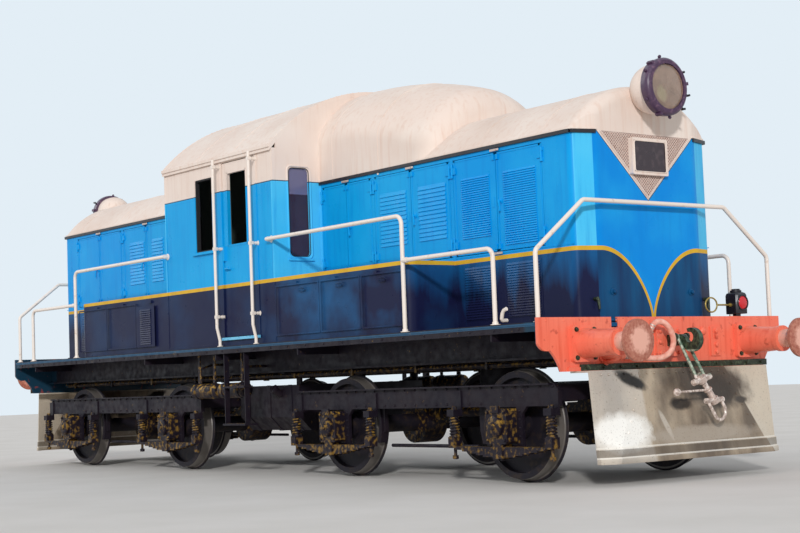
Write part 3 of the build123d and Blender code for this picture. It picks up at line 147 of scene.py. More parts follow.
class Form:
    """Points and faces of a piece while it is made."""

    def __init__(self):
        self.points, self.faces = [], []

    def add(self, points, faces):
        start = len(self.points)
        self.points += [Vector(p) for p in points]
        self.faces += [tuple(start + i for i in face) for face in faces]
        return self

    def box(self, low, high):
        """A block between two corners."""
        (x0, y0, z0), (x1, y1, z1) = [[pick(a, b) for a, b in zip(low, high)] for pick in (min, max)]
        points = [(x, y, z) for z in (z0, z1) for x, y in ((x0, y0), (x1, y0), (x1, y1), (x0, y1))]
        return self.add(points, [(3, 2, 1, 0), (4, 5, 6, 7), (0, 1, 5, 4), (1, 2, 6, 5), (2, 3, 7, 6),
                                 (3, 0, 4, 7)])

    def border(self, x_span, z_span, y_span, width):
        """Four strips inside the edges of an upright rectangle."""
        (x0, x1), (z0, z1), (y0, y1) = x_span, z_span, y_span
        for a, b, c, d in ((x0, x1, z0, z0 + width), (x0, x1, z1 - width, z1),
                           (x0, x0 + width, z0, z1), (x1 - width, x1, z0, z1)):
            self.box((a, y0, c), (b, y1, d))

    def prism(self, outline, origin, across, up, along):
        """An outline of (across, up) points, pushed along a vector."""
        origin, across, up, along = map(Vector, (origin, across, up, along))
        near = [origin + across * u + up * v for u, v in outline]
        count = len(near)
        faces = [tuple(range(count))[::-1], tuple(range(count, 2 * count))]
        faces += [(i, (i + 1) % count, count + (i + 1) % count, count + i) for i in range(count)]
        if across.cross(up).dot(along) < 0:
            faces = [face[::-1] for face in faces]
        return self.add(near + [p + along for p in near], faces)

    def slab(self, outline, x, length):
        """An outline of (Y, Z) points, pushed forward."""
        return self.prism(outline, (x, 0, 0), LEFT, UP, (length, 0, 0))

    def lathe(self, profile, origin, axis, sides=20, looped=False):
        """Turns (distance, radius) points about an axis."""
        turn = Vector(axis).to_track_quat("Z", "Y").to_matrix()
        points = [Vector(origin) + turn @ Vector((r * cos(a), r * sin(a), d))
                  for d, r in profile for a in circle(sides)]
        return self.add(points, bands(len(profile), sides, looped))

    def tube(self, path, radius, sides=10, closed=False):
        """A round bar along a list of points. The radius may be a list, one for each point."""
        path = [Vector(p) for p in path]
        count = len(path)
        radii = radius if isinstance(radius, (list, tuple)) else [radius] * count
        normal = None
        points = []
        for i, at in enumerate(path):
            before = path[i - 1] if i or closed else at
            after = path[(i + 1) % count] if i < count - 1 or closed else at
            ahead = (after - before).normalized()
            if normal is None:
                normal = ahead.orthogonal().normalized()
            normal = (normal - ahead * normal.dot(ahead)).normalized()
            side = ahead.cross(normal)
            points += [at + (normal * cos(a) + side * sin(a)) * radii[i] for a in circle(sides)]
        return self.add(points, bands(count, sides, closed))

    def bolt(self, at, axis, flats):
        """A hexagon head on its washer."""
        half = flats / 2
        self.lathe([(-0.002, half * 1.45), (0.003, half * 1.45)], at, axis, 14)
        head = [(0.002, half * 1.15), (0.55 * flats, half * 1.15), (0.64 * flats, half * 0.9)]
        return self.lathe(head, at, axis, 6)

    def rivet(self, at, axis, diameter):
        """A snap head."""
        r = diameter / 2
        head = [(-0.001, r), (r * 0.35, r * 0.92), (r * 0.68, r * 0.6), (r * 0.8, r * 0.15)]
        return self.lathe(head, at, axis, 8)

    def row(self, head, at, step, count, axis, diameter):
        """Rivets or bolts in a row, from the first one by steps."""
        for k in range(count):
            head(Vector(at) + Vector(step) * k, axis, diameter)

    def join(self, other, matrix=WHOLE):
        """Adds another form, moved, turned or mirrored by a matrix."""
        faces = [face[::-1] for face in other.faces] if matrix.determinant() < 0 else other.faces
        return self.add([matrix @ p for p in other.points], faces)

    def spread(self, matrices):
        """The same form once for each matrix."""
        made = Form()
        for matrix in matrices:
            made.join(self, matrix)
        return made

    def link(self, name):
        """Makes an object of the form in the scene."""
        data = bpy.data.meshes.new(name)
        data.from_pydata(self.points, [], self.faces)
        data.update()
        made = bpy.data.objects.new(name, data)
        bpy.context.scene.collection.objects.link(made)
        return made


finishes = {}


def piece(name, form, finish, places=(WHOLE,), body="frame", bevel=0.0, smooth=35,
          segments=2):
    """Makes one object from a form, once for each place, and lets it ride on a body."""
    made = form.spread(places).link(name)
    made.data.materials.append(finishes[finish])
    made.data.polygons.foreach_set("use_smooth", [True] * len(made.data.polygons))
    made.data.set_sharp_from_angle(angle=radians(smooth))
    if bevel:
        edge = made.modifiers.new("Edge", "BEVEL")
        edge.width, edge.segments, edge.limit_method = bevel, segments, "ANGLE"
        edge.angle_limit = radians(40)
        edge.harden_normals = True
    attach(made, body)
    return made


def add(tree, kind, links=(), **settings):
    """Adds a node with its settings and links: sockets, nodes (their first output in use) or values."""
    made = tree.nodes.new("ShaderNode" + kind)
    for key, value in settings.items():
        setattr(made, key, value)
    for key, value in links.items() if isinstance(links, dict) else enumerate(links):
        if isinstance(value, bpy.types.Node):
            value = next(socket for socket in value.outputs if socket.enabled)
        if isinstance(value, bpy.types.NodeSocket):
            tree.links.new(value, made.inputs[key])
        else:
            made.inputs[key].default_value = value
    return made


def blank(name):
    """An empty material, its node tree, and the place in metres that its patterns use."""
    material = bpy.data.materials.new(name)
    material.use_nodes = True
    tree = material.node_tree
    tree.nodes.clear()
    return material, tree, add(tree, "TexCoord").outputs["Object"]


def cloudy(tree, at, millimetres, detail, low, high, least=0, most=1):
    """Spots of a given size with soft edges: one value between them and another inside."""
    noise = add(tree, "TexNoise", {"Vector": at, "Scale": 1000 / millimetres, "Detail": detail})
    return add(tree, "MapRange", [noise, low, high, least, most])


def layered(tree, base, coats):
    """Coats laid one over another, each with its share from 0 to 1. A colour may be given as a hex code."""
    colour = linear(base) if isinstance(base, str) else base
    for share, coat in coats:
        coat = linear(coat) if isinstance(coat, str) else coat
        colour = add(tree, "Mix", {0: share, 6: colour, 7: coat}, data_type="RGBA")
    return colour


def beaten(tree, at, sheet, brush, depth):
    """The waves of hammered sheet, and the finer marks of a brush or a casting, in millimetres."""
    waves, marks = (add(tree, "TexNoise", {"Vector": at, "Scale": 1000 / millimetres, "Detail": detail})
                    for millimetres, detail in ((sheet, 1), (brush, 3)))
    marks = add(tree, "Math", [marks, brush / sheet * 4], operation="MULTIPLY")
    height = add(tree, "Math", [waves, marks], operation="ADD")
    return add(tree, "Bump", {"Height": height, "Distance": depth / 1000, "Strength": 0.5})


def surfaced(material, tree, normal, colour, rough, **surface):
    """Gives a material its colour, roughness and relief, and what else its shader is told."""
    more = {key.replace("_", " "): value for key, value in surface.items()}
    shader = add(tree, "BsdfPrincipled", {"Base Color": colour, "Roughness": rough, "Normal": normal, **more})
    add(tree, "OutputMaterial", [shader])
    return material


def weathered(tree, at, colour, faded, dirt, share):
    """Paint with sun-faded patches half a metre across, and dirt that has run down in streaks 40 mm apart."""
    drawn_out = add(tree, "Mapping", {"Vector": at, "Scale": (1, 1, 0.07)})
    return layered(tree, colour, ((cloudy(tree, at, 520, 4, 0.42, 0.72, 0, share), faded),
                                  (cloudy(tree, drawn_out, 40, 5, 0.5, 0.8, 0, share), dirt)))


def squares(tree, ways):
    """The sum of two squares: how far a place lies from the middle of a round mark, squared."""
    powers = [add(tree, "Math", [way, 2.0], operation="POWER") for way in ways]
    return add(tree, "Math", powers, operation="ADD")


def end_place(tree, at):
    """Y and Z on an end, with Y turned round at the rear so that both ends bear the same marks."""
    x, y, z = add(tree, "SeparateXYZ", [at]).outputs
    return add(tree, "Math", [y, add(tree, "Math", [x], operation="SIGN")], operation="MULTIPLY"), z


def oval(tree, place, ragged, centre, half, lean=0.0):
    """A smear on an end: 1 in the middle of a leaning oval and 0 outside it, with a ragged edge."""
    y, z = (add(tree, "Math", [way, middle], operation="SUBTRACT") for way, middle in zip(place, centre))
    y = add(tree, "Math", [z, -lean, y], operation="MULTIPLY_ADD")
    shares = [add(tree, "Math", [way, 1 / reach], operation="MULTIPLY") for way, reach in zip((y, z), half)]
    distance = add(tree, "Math", [squares(tree, shares), ragged], operation="ADD")
    return add(tree, "MapRange", [distance, 1.0, 1.9, 1, 0])


def coach_enamel():
    """Brushed gloss enamel on beaten steel sheet: blue above and below a yellow stripe, cream on top.

    The stripe runs level round the body and drops along two arcs on each end."""
    paints, livery = bpy.context.scene.loco_paints, bpy.context.scene.loco_livery
    material, tree, at = blank("coach_enamel")
    x, y, z = add(tree, "SeparateXYZ", [at]).outputs
    along, across = (add(tree, "Math", [way], operation="ABSOLUTE") for way in (x, y))
    on_end, on_corner, on_face = (add(tree, "Math", [along, start], operation="GREATER_THAN")
                                  for start in (CORNER_X + 0.002, CORNER_X + 0.001, 4.73))
    drawn_out = add(tree, "Mapping", {"Vector": at, "Scale": (1, 1, 0.12)})
    streaky = add(tree, "TexNoise", {"Vector": drawn_out, "Scale": 1000 / 150, "Detail": 4})

    # below the stripe: navy lockers and cab, teal on the hoods' outer parts with navy patches low down
    ahead = add(tree, "MapRange", [x, 0.9, 1.3, 0.15, 0.75])
    worn = add(tree, "Math", [cloudy(tree, at, 620, 4, 0.44, 0.66), ahead], operation="MULTIPLY")
    depth = add(tree, "Math", [add(tree, "MapRange", [z, 1.42, 1.86, 0.55, 0]), streaky], operation="ADD")
    outer = layered(tree, paints.teal, [(add(tree, "MapRange", [depth, 0.5, 0.85]), paints.navy)])
    face = layered(tree, "#0F4C78", [(add(tree, "MapRange", [streaky, 0.42, 0.7]), "#142C54")])
    low = layered(tree, paints.navy, ((worn, "#1E5C8E"), (add(tree, "MapRange", [along, 3.06, 3.20]), outer),
                                      (on_face, face)))

    # above it: a painted highlight on the hoods' angled corners and the cab's end walls, painted shade on the
    # end faces, and deeper towards the ends
    aside = add(tree, "Math", [across, HALF_FACE + 0.003], operation="GREATER_THAN")
    corner = add(tree, "Math", [on_corner, aside], operation="MULTIPLY")
    cab_end = add(tree, "Math", [along, 1.068, 0.023], operation="COMPARE")
    high = layered(tree, "#0A9EDE", (
        (add(tree, "MapRange", [along, 2.3, 3.3]), paints.sky),
        (add(tree, "Math", [corner, cab_end], operation="MAXIMUM"), "#4CC0EE"),
        (on_face, "#0088DC"),
    ))
    high = weathered(tree, at, high, "#26B2EC", "#0078CC", 0.4)

    # distance from the outer foot of each arc, as a share of its reach: the stripe lies just inside 1
    rise = livery.stripe_top - livery.arc_foot
    up = add(tree, "MapRange", [z, livery.arc_foot, livery.arc_foot + rise * 4, 0, 4])
    inward = add(tree, "MapRange", [across, HALF_FACE, 0])
    powers = [add(tree, "Math", [way, power], operation="POWER")
              for way, power in ((up, 1.4), (inward, 2.0))]
    reach = add(tree, "Math", [add(tree, "Math", powers, operation="ADD"), 1 / 1.4], operation="POWER")
    band = 1 - livery.stripe_width / rise
    yellow = layered(tree, paints.stripe, [(add(tree, "MapRange", [streaky, 0.4, 0.75, 0, 0.6]), "#B98F35")])

    # cream above the line and inside the V on each end, with a thin dark line where they meet
    vee = add(tree, "MapRange", [across, 0, HALF_FACE, livery.vee_tip, livery.cream_line])
    limit = add(tree, "Mix", {0: on_end, 2: livery.cream_line, 3: vee}, data_type="FLOAT")
    over = add(tree, "Math", [z, limit], operation="SUBTRACT")
    cream = weathered(tree, at, paints.cream, "#F2E8DF", "#D3B7A6", 0.45)

    # the lining inside the cab and the hoods
    rooms = []
    for x_mid, x_half, y_half in ((0.0, 1.045, 1.335), (2.8725, 1.7825, 0.795)):
        length = add(tree, "Math", [along, x_mid, x_half], operation="COMPARE")
        width = add(tree, "Math", [y, 0.0, y_half], operation="COMPARE")
        rooms.append(add(tree, "Math", [length, width], operation="MULTIPLY"))

    colour = layered(tree, low, (
        (add(tree, "MapRange", [reach, band - 0.001, band + 0.001]), yellow),
        (add(tree, "MapRange", [reach, 0.999, 1.001]), high),
        (add(tree, "Math", [over, -0.010], operation="GREATER_THAN"), "#2B4A63"),
        (add(tree, "Math", [over, 0.0], operation="GREATER_THAN"), cream),
        (add(tree, "Math", rooms, operation="MAXIMUM"), paints.lining),
    ))
    return surfaced(material, tree, beaten(tree, at, 380, 9, 5), colour,
                    cloudy(tree, at, 160, 4, 0.3, 0.75, 0.26, 0.46),
                    Specular_IOR_Level=0.12, Coat_Weight=0.03, Coat_Roughness=0.12)


def roof_enamel():
    """Matt cream oil paint on riveted roof sheets: chalky, with rust-pink stains running down."""
    material, tree, at = blank("roof_enamel")
    cream = weathered(tree, at, bpy.context.scene.loco_paints.cream, "#F0E6DC", "#D9B9A6", 0.6)
    colour = layered(tree, cream, [(cloudy(tree, at, 900, 5, 0.52, 0.85, 0, 0.45), "#C9AE9C")])
    return surfaced(material, tree, beaten(tree, at, 450, 8, 5), colour,
                    cloudy(tree, at, 120, 4, 0.3, 0.7, 0.45, 0.65), Specular_IOR_Level=0.3)


def vermilion_enamel():
    """Orange-red gloss enamel brushed on plate and castings, scuffed where couplings swing."""
    material, tree, at = blank("vermilion_enamel")
    colour = weathered(tree, at, bpy.context.scene.loco_paints.vermilion, "#F48C6E", "#D9533A", 0.7)
    # the plates' backs keep the frame's dark teal
    x = add(tree, "SeparateXYZ", [at]).outputs["X"]
    rear_edge = add(tree, "Math", [add(tree, "Math", [x, 0.0], operation="LESS_THAN"), 0.023, 4.850],
                    operation="MULTIPLY_ADD")
    along = add(tree, "Math", [x], operation="ABSOLUTE")
    behind = add(tree, "Math", [along, rear_edge], operation="LESS_THAN")
    scuffs = cloudy(tree, at, 60, 6, 0.62, 0.72, 0, 0.6)
    colour = layered(tree, colour, ((behind, "#16384C"), (scuffs, "#A8402E")))
    return surfaced(material, tree, beaten(tree, at, 160, 14, 3), colour,
                    cloudy(tree, at, 80, 4, 0.3, 0.7, 0.3, 0.5),
                    Specular_IOR_Level=0.3, Coat_Weight=0.12, Coat_Roughness=0.15)


def headlight_enamel():
    """Cream oil paint on the spun drum, chalky and stained, and brown-purple gloss enamel on its ring."""
    paints = bpy.context.scene.loco_paints
    material, tree, at = blank("headlight_enamel")
    x = add(tree, "SeparateXYZ", [at]).outputs["X"]
    ring = add(tree, "Math", [add(tree, "Math", [x], operation="ABSOLUTE"), 4.947], operation="GREATER_THAN")
    cream = weathered(tree, at, paints.cream, "#F0E6DC", "#C9AE9C", 0.6)
    brown = layered(tree, paints.bezel, [(cloudy(tree, at, 26, 5, 0.52, 0.66), "#6E5166")])
    return surfaced(material, tree, beaten(tree, at, 90, 10, 1), layered(tree, cream, [(ring, brown)]),
                    add(tree, "MapRange", [ring, 0, 1, 0.55, 0.36]), Specular_IOR_Level=0.3)


def silvered_dish():
    """Silver plate on a spun dish, yellowed and dusty: brownish, with a greenish painted highlight low beside
    the bulb.
    """
    material, tree, at = blank("silvered_dish")
    ragged, film = (add(tree, "TexNoise", {"Vector": at, "Scale": 1000 / millimetres, "Detail": detail})
                    for millimetres, detail in ((60, 3), (120, 5)))
    # a greenish painted highlight low beside the bulb
    painted_glint = oval(tree, end_place(tree, at), ragged, (-0.045, 3.205), (0.060, 0.070))
    dusty = add(tree, "MapRange", [film, 0.4, 0.66])
    colour = layered(tree, "#8C6A54", ((dusty, "#B08C70"), (painted_glint, "#CFDDB6")))
    return surfaced(material, tree, beaten(tree, at, 70, 12, 0.3), colour,
                    add(tree, "MapRange", [film, 0.3, 0.7, 0.3, 0.5]), Metallic=0.3)


def drawgear_steel():
    """Forged steel draw gear: a green-black greasy hook, links rubbed greyer, and a bright screw."""
    material, tree, at = blank("forged_drawgear")
    x, y, z = add(tree, "SeparateXYZ", [at]).outputs
    patches = cloudy(tree, at, 28, 5, 0.42, 0.64)
    hook, links, screw = (layered(tree, deep, [(patches, worn)]) for deep, worn in (
        ("#1E2A20", "#4A5C44"), ("#5E7260", "#B4BBA6"), ("#A8958A", "#F0E2D8")))
    middle = add(tree, "Math", [add(tree, "Math", [y], operation="ABSOLUTE"), 0.030], operation="LESS_THAN")
    above = add(tree, "Math", [z, 1.060], operation="GREATER_THAN")
    on_hook = add(tree, "Math", [middle, above], operation="MULTIPLY")
    colour = layered(tree, links, ((on_hook, hook), (add(tree, "MapRange", [z, 0.86, 0.84]), screw)))
    return surfaced(material, tree, beaten(tree, at, 34, 9, 1.5), colour,
                    add(tree, "MapRange", [patches, 0, 1, 0.5, 0.34]), Metallic=0.25)


def buffer_face_steel():
    """Forged steel: rust-brown, rubbed pale and smooth in the middle where it meets the next buffer."""
    material, tree, at = blank("buffer_face_steel")
    x, y, z = add(tree, "SeparateXYZ", [at]).outputs
    aside = add(tree, "Math", [add(tree, "Math", [y], operation="ABSOLUTE"), BUFFER_Y], operation="SUBTRACT")
    level = add(tree, "Math", [z, BUFFER_Z], operation="SUBTRACT")
    reach = add(tree, "Math", [squares(tree, (aside, level))], operation="SQRT")
    ragged = add(tree, "TexNoise", {"Vector": at, "Scale": 1000 / 30, "Detail": 5})
    reach = add(tree, "Math", [ragged, 0.09, reach], operation="MULTIPLY_ADD")
    worn = add(tree, "MapRange", [reach, 0.125, 0.165, 1, 0])
    colour = layered(tree, "#A05A48", ((cloudy(tree, at, 25, 5, 0.35, 0.7), "#BE7F6A"), (worn, "#E6AC98")))
    return surfaced(material, tree, beaten(tree, at, 60, 12, 1.5), colour,
                    add(tree, "MapRange", [worn, 0, 1, 0.6, 0.42]), Metallic=0.15)


def silvered_sheet():
    """Rolled steel sheet under aluminium paint: knocked about, oily in the middle, with painted highlights on
    the left and along the lips, painted shade between the lips and the painted shadow of the coupling's ball.
    """
    material, tree, at = blank("silvered_sheet")
    y, z = end_place(tree, at)
    drawn_out = add(tree, "Mapping", {"Vector": at, "Scale": (1, 1, 0.5)})
    # the left third, turned to the light, is painted paler as a painted highlight, and the wing beyond the
    # fold keeps its paint
    sunlit_left_third = add(tree, "MapRange", [y, -0.53, -0.50, 0.55, 0])
    fold = add(tree, "MapRange", [z, PLOUGH_TOP[2], PLOUGH_FOOT[2], 0.520, 0.924])
    wing = add(tree, "MapRange", [add(tree, "Math", [y, fold], operation="SUBTRACT"), -0.004, 0.008, 0, 0.9])
    marks = [(cloudy(tree, drawn_out, 260, 6, 0.36, 0.64), "#B7A58E"), (sunlit_left_third, "#D8D0C5"),
             (wing, "#D6C8B4")]
    ragged = add(tree, "TexNoise", {"Vector": at, "Scale": 1000 / 70, "Detail": 6})
    for centre, half, lean, code in (
        ((0.30, 0.78), (0.46, 0.20), -0.7, "#54483D"),
        ((0.10, 0.37), (0.62, 0.07), 0.0, "#A89A8A"),
        # a near-white painted highlight low down on the left
        ((-0.80, 0.42), (0.30, 0.15), 0.0, "#FAF6EE"),
        ((-0.62, 0.83), (0.11, 0.08), -1.5, "#332F2B"),
        ((-0.31, 0.46), (0.03, 0.12), -0.43, "#BDB1A2"),
        ((0.65, 0.63), (0.08, 0.03), 0.0, "#4A4139"),
        ((0.36, 0.72), (0.22, 0.13), 0.0, "#40372F"),
        # the painted shadow of the coupling's ball
        ((-0.10, 0.62), (0.13, 0.05), 0.0, "#3A322B"),
    ):
        marks.append((oval(tree, (y, z), ragged, centre, half, lean), code))
    # painted highlights on the lips' upper edges, and painted shade in the band between them
    for level, width, code in ((0.262, 0.030, "#54483C"), (0.304, 0.006, "#F4EEE4"),
                               (0.228, 0.006, "#F4EEE4")):
        line = add(tree, "Math", [z, level, width], operation="COMPARE")
        marks.append((add(tree, "Math", [line, 0.6], operation="MULTIPLY"), code))
    marks += [(cloudy(tree, at, 14, 6, 0.60, 0.70, 0, 0.45), "#6D5B49"),
              (add(tree, "MapRange", [z, 0.22, 0.17, 0, 0.45]), "#6D5B49")]
    return surfaced(material, tree, beaten(tree, at, 210, 18, 9), layered(tree, "#6C5E50", marks),
                    cloudy(tree, at, 130, 5, 0.3, 0.7, 0.34, 0.58), Metallic=0.3)


def oily_steel(name, share, depth):
    """Black-painted steel plate and castings: aubergine black with oil, darkened by painted shade under the
    body, brassy where brake dust lies and with painted brassy highlights on upward faces.
    """
    paints = bpy.context.scene.loco_paints
    material, tree, at = blank(name)
    x, y, z = add(tree, "SeparateXYZ", [at]).outputs
    # the end plates' backs and the footplate's edge keep some teal paint
    end = add(tree, "MapRange", [add(tree, "Math", [x], operation="ABSOLUTE"), 4.70, 4.74, 0, 0.9])
    edge = add(tree, "MapRange", [add(tree, "Math", [z, 1.291, 0.012], operation="COMPARE"), 0, 1, 0, 0.8])
    # brass dust lies mostly on upward faces, where it also stands for painted brassy highlights
    up = add(tree, "SeparateXYZ", [add(tree, "NewGeometry").outputs["Normal"]]).outputs["Z"]
    upward_dust_and_highlight = add(tree, "MapRange", [up, -0.3, 0.9, 0.15, 1.0])
    dust = cloudy(tree, at, 42, 6, 0.68 - share * 0.2, 0.84 - share * 0.2)
    dust = add(tree, "Math", [dust, upward_dust_and_highlight], operation="MULTIPLY")
    # the frame black holds painted shade under the body
    colour = layered(tree, paints.frame_black_and_shade, (
        (cloudy(tree, at, 240, 4, 0.4, 0.72), "#21181F"), (end, "#103448"), (edge, "#2C5878"),
        (dust, paints.brass_dust_and_highlight),
    ))
    return surfaced(material, tree, beaten(tree, at, 90, 16, depth), colour,
                    cloudy(tree, at, 70, 4, 0.3, 0.7, 0.35, 0.7), Specular_IOR_Level=0.25)


def wheel_steel():
    """Rolled wheel steel: brown-black with oil, polished on the tread by the rail."""
    material, tree, at = blank("wheel_steel")
    x, y, z = add(tree, "SeparateXYZ", [at]).outputs
    for place in (BOGIE_X, AXLE_X):
        x = add(tree, "Math", [add(tree, "Math", [x], operation="ABSOLUTE"), place], operation="SUBTRACT")
    rise = add(tree, "Math", [z, AXLE_Z], operation="SUBTRACT")
    reach = add(tree, "Math", [squares(tree, (x, rise))], operation="SQRT")
    sides = [add(tree, "MapRange", [reach, *span]) for span in ((0.4495, 0.4515), (0.462, 0.470, 1, 0))]
    tread = add(tree, "Math", sides, operation="MULTIPLY")
    # the frame black also holds painted shade under the body
    colour = layered(tree, bpy.context.scene.loco_paints.frame_black_and_shade,
                     ((cloudy(tree, at, 60, 5, 0.5, 0.8), "#3A2C22"), (tread, "#6E6863")))
    return surfaced(material, tree, beaten(tree, at, 90, 20, 2), colour,
                    add(tree, "MapRange", [tread, 0, 1, 0.62, 0.34]), Metallic=0.25)


def worn_finish(name, colour, worn, millimetres, rough, depth, share, **surface):
    """A painted, cast or drawn finish of one colour, with wear of a second one in spots of a given size."""
    material, tree, at = blank(name)
    spots = cloudy(tree, at, millimetres, 5, 0.7 - share * 0.35, 0.86 - share * 0.3)
    return surfaced(material, tree, beaten(tree, at, millimetres, millimetres / 4, depth),
                    layered(tree, colour, [(spots, worn)]),
                    cloudy(tree, at, millimetres / 0.6, 3, 0.3, 0.7, rough - 0.08, rough + 0.1), **surface)


def ridged(tree, at, millimetres, direction, distortion, strength):
    """Relief of ridges that stand a given number of millimetres apart."""
    wave = add(tree, "TexWave", {"Vector": at, "Scale": 1000 / millimetres / 20, "Distortion": distortion},
               wave_type="BANDS", bands_direction=direction)
    return add(tree, "Bump", {"Height": wave, "Distance": 0.002, "Strength": strength})


def fluted_glass():
    """Moulded lens glass, warm and dusty, with upright flutes 22 mm apart."""
    material, tree, at = blank("moulded_lens_glass")
    colour = layered(tree, "#F4E2D2", [(cloudy(tree, at, 180, 3, 0.4, 0.75), "#D8C4B2")])
    return surfaced(material, tree, ridged(tree, at, 22, "Y", 0.0, 0.4), colour, 0.08, IOR=1.5,
                    Transmission_Weight=0.85)


def cab_glass():
    """Toughened sheet glass in a dark cab: purple-tinted and filmed, with a pale painted reflection of the
    sky over its top third.
    """
    material, tree, at = blank("toughened_glass")
    film = cloudy(tree, at, 200, 3, 0.35, 0.75, 0, 0.5)
    # the top third is painted paler: a painted reflection of the sky
    upper = add(tree, "MapRange", [add(tree, "SeparateXYZ", [at]).outputs["Z"], 2.770, 2.776])
    shader = add(tree, "BsdfPrincipled", {
        "Base Color": layered(tree, "#43303F", ((film, "#5A4655"), (upper, "#7B7A9E"))),
        "Roughness": add(tree, "MapRange", [film, 0, 0.5, 0.05, 0.2]), "IOR": 1.5,
        "Transmission Weight": 0.35})
    add(tree, "OutputMaterial", [shader])
    return material


def painted_hose():
    """Canvas-wrapped rubber under headstock paint, rubbed pale: a spiral of ridges 12 mm apart."""
    material, tree, at = blank("painted_hose")
    colour = layered(tree, "#D98E7A", [(cloudy(tree, at, 45, 5, 0.35, 0.7), "#F0BCAA")])
    return surfaced(material, tree, ridged(tree, at, 12, "DIAGONAL", 1.5, 0.5), colour, 0.6,
                    Specular_IOR_Level=0.3)


def make_finishes():
    """Every material of the locomotive, once."""
    paints = bpy.context.scene.loco_paints
    finishes.update({
        "body": coach_enamel(),
        "roof": roof_enamel(),
        "vermilion": vermilion_enamel(),
        "buffer": buffer_face_steel(),
        "plough": silvered_sheet(),
        "frame": oily_steel("oily_frame_plate", 0.05, 2),
        "gear": oily_steel("oily_spring_steel", 0.92, 4),
        "wheel": wheel_steel(),
        "window": cab_glass(),
        "lens": fluted_glass(),
        "reflector": silvered_dish(),
        "headlight": headlight_enamel(),
        "drawgear": drawgear_steel(),
        "hose": painted_hose(),
    })
    for key, name, colour, worn, millimetres, rough, depth, share, surface in (
        # oil paint on drawn tube, chipped where hands and boots meet it
        ("rail", "rail_enamel", paints.rails, "#C9AC96", 70, 0.4, 0.5, 0.25, {"Coat_Weight": 0.1}),
        # brown-purple enamel on a spun ring, glossy and a little chipped
        ("bezel", "bezel_enamel", paints.bezel, "#6E5166", 26, 0.38, 1, 0.4, {"Coat_Weight": 0.2}),
        # black enamel, deep and even, with a soft gloss
        ("black", "black_enamel", "#1C191F", "#37323A", 40, 0.35, 0.5, 0.3, {}),
        # the same enamel on glass, brown-black, behind dust
        ("panel", "enamelled_glass", "#33262C", "#4A3C40", 60, 0.3, 0.2, 0.5, {}),
        # forged bolts and brackets, green-black with old paint and grease
        ("forged", "forged_fastenings", "#27301F", "#55664A", 30, 0.45, 2, 0.5, {"Metallic": 0.2}),
        # pale blue enamel on a tread plate, scuffed by boots: its paleness is partly a painted highlight
        # along the ledge
        ("sill", "sill_enamel_and_highlight", "#6FC0E4", "#3C8FC0", 40, 0.4, 0.5, 0.5, {}),
        # turned and rubbed steel, bright and pinkish under a thin brown film
        ("bright", "rubbed_steel", "#C9B6AB", "#6E5A4E", 24, 0.4, 1, 0.45, {"Metallic": 0.4}),
        # red signal glass, glowing and a little dusty
        ("red_glass", "red_signal_glass", "#C8202A", "#E2584E", 40, 0.15, 0.2, 0.4, {}),
        # extruded rubber glazing strip, dull
        ("rubber", "glazing_rubber", "#1B1A1D", "#2E2C2E", 20, 0.7, 0.3, 0.4, {}),
        # leathercloth over horsehair, brown with paler creases
        ("leathercloth", "leathercloth", "#4A3026", "#6B4A3A", 12, 0.5, 1, 0.4, {}),
        # flat grey-green paint on the inner sheets
        ("lining", "lining_paint", paints.lining, "#38403D", 60, 0.5, 0.5, 0.3, {}),
        # iron casting under grey engine paint, oily
        ("iron", "engine_iron", "#50565A", "#2A2826", 90, 0.5, 3, 0.5, {"Metallic": 0.1}),
        # woven wire under cream paint
        ("wire", "cream_wire", "#E8D2C6", "#C9AA9A", 30, 0.5, 0.5, 0.4, {}),
        # a darker sheet behind the wires: painted shade in the gap
        ("shade", "grille_backing_painted_shade", "#9A837B", "#B09A90", 50, 0.7, 0.5, 0.5, {}),
        # brass fittings under a film of dust
        ("brass", "dusty_brass", "#A8914C", "#6B5A30", 20, 0.4, 1, 0.4, {"Metallic": 0.5}),
    ):
        finishes[key] = worn_finish(name, colour, worn, millimetres, rough, depth, share, **surface)


NODE_FINISHES = {
    "body": "side_lockers hood_front hood_rear cab_end_walls cab_side cab_door hood_door",
    "roof": "hood_roofs roof_fairing number_boxes cab_roof",
    "frame": "underframe fuel_tank cab_steps bogie_frame",
    "gear": "air_reservoirs springs drives",
    "vermilion": "headstocks buffer_housings",
    "buffer": "buffer_heads", "drawgear": "couplings", "plough": "ploughs", "headlight": "headlights",
    "window": "cab_windows", "lining": "cab_fittings", "iron": "engine", "rail": "handrails",
    "wheel": "wheelset", "black": "tail_lamp", "lens": "headlight_lenses", "hose": "brake_hose",
}


class LOCO_OT_finishes(bpy.types.Operator):
    """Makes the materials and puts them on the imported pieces"""

    bl_idname = "loco.finishes"
    bl_label = "Finishes"

    def execute(self, context):
        make_finishes()
        starts = {start: finish for finish, names in NODE_FINISHES.items() for start in names.split()}
        for name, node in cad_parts.items():
            keys = [start for start in starts if name.startswith(start)]
            if not keys:
                raise RuntimeError(f"{name} has no finish")
            node.data.materials.clear()
            node.data.materials.append(finishes[starts[max(keys, key=len)]])
        return {"FINISHED"}


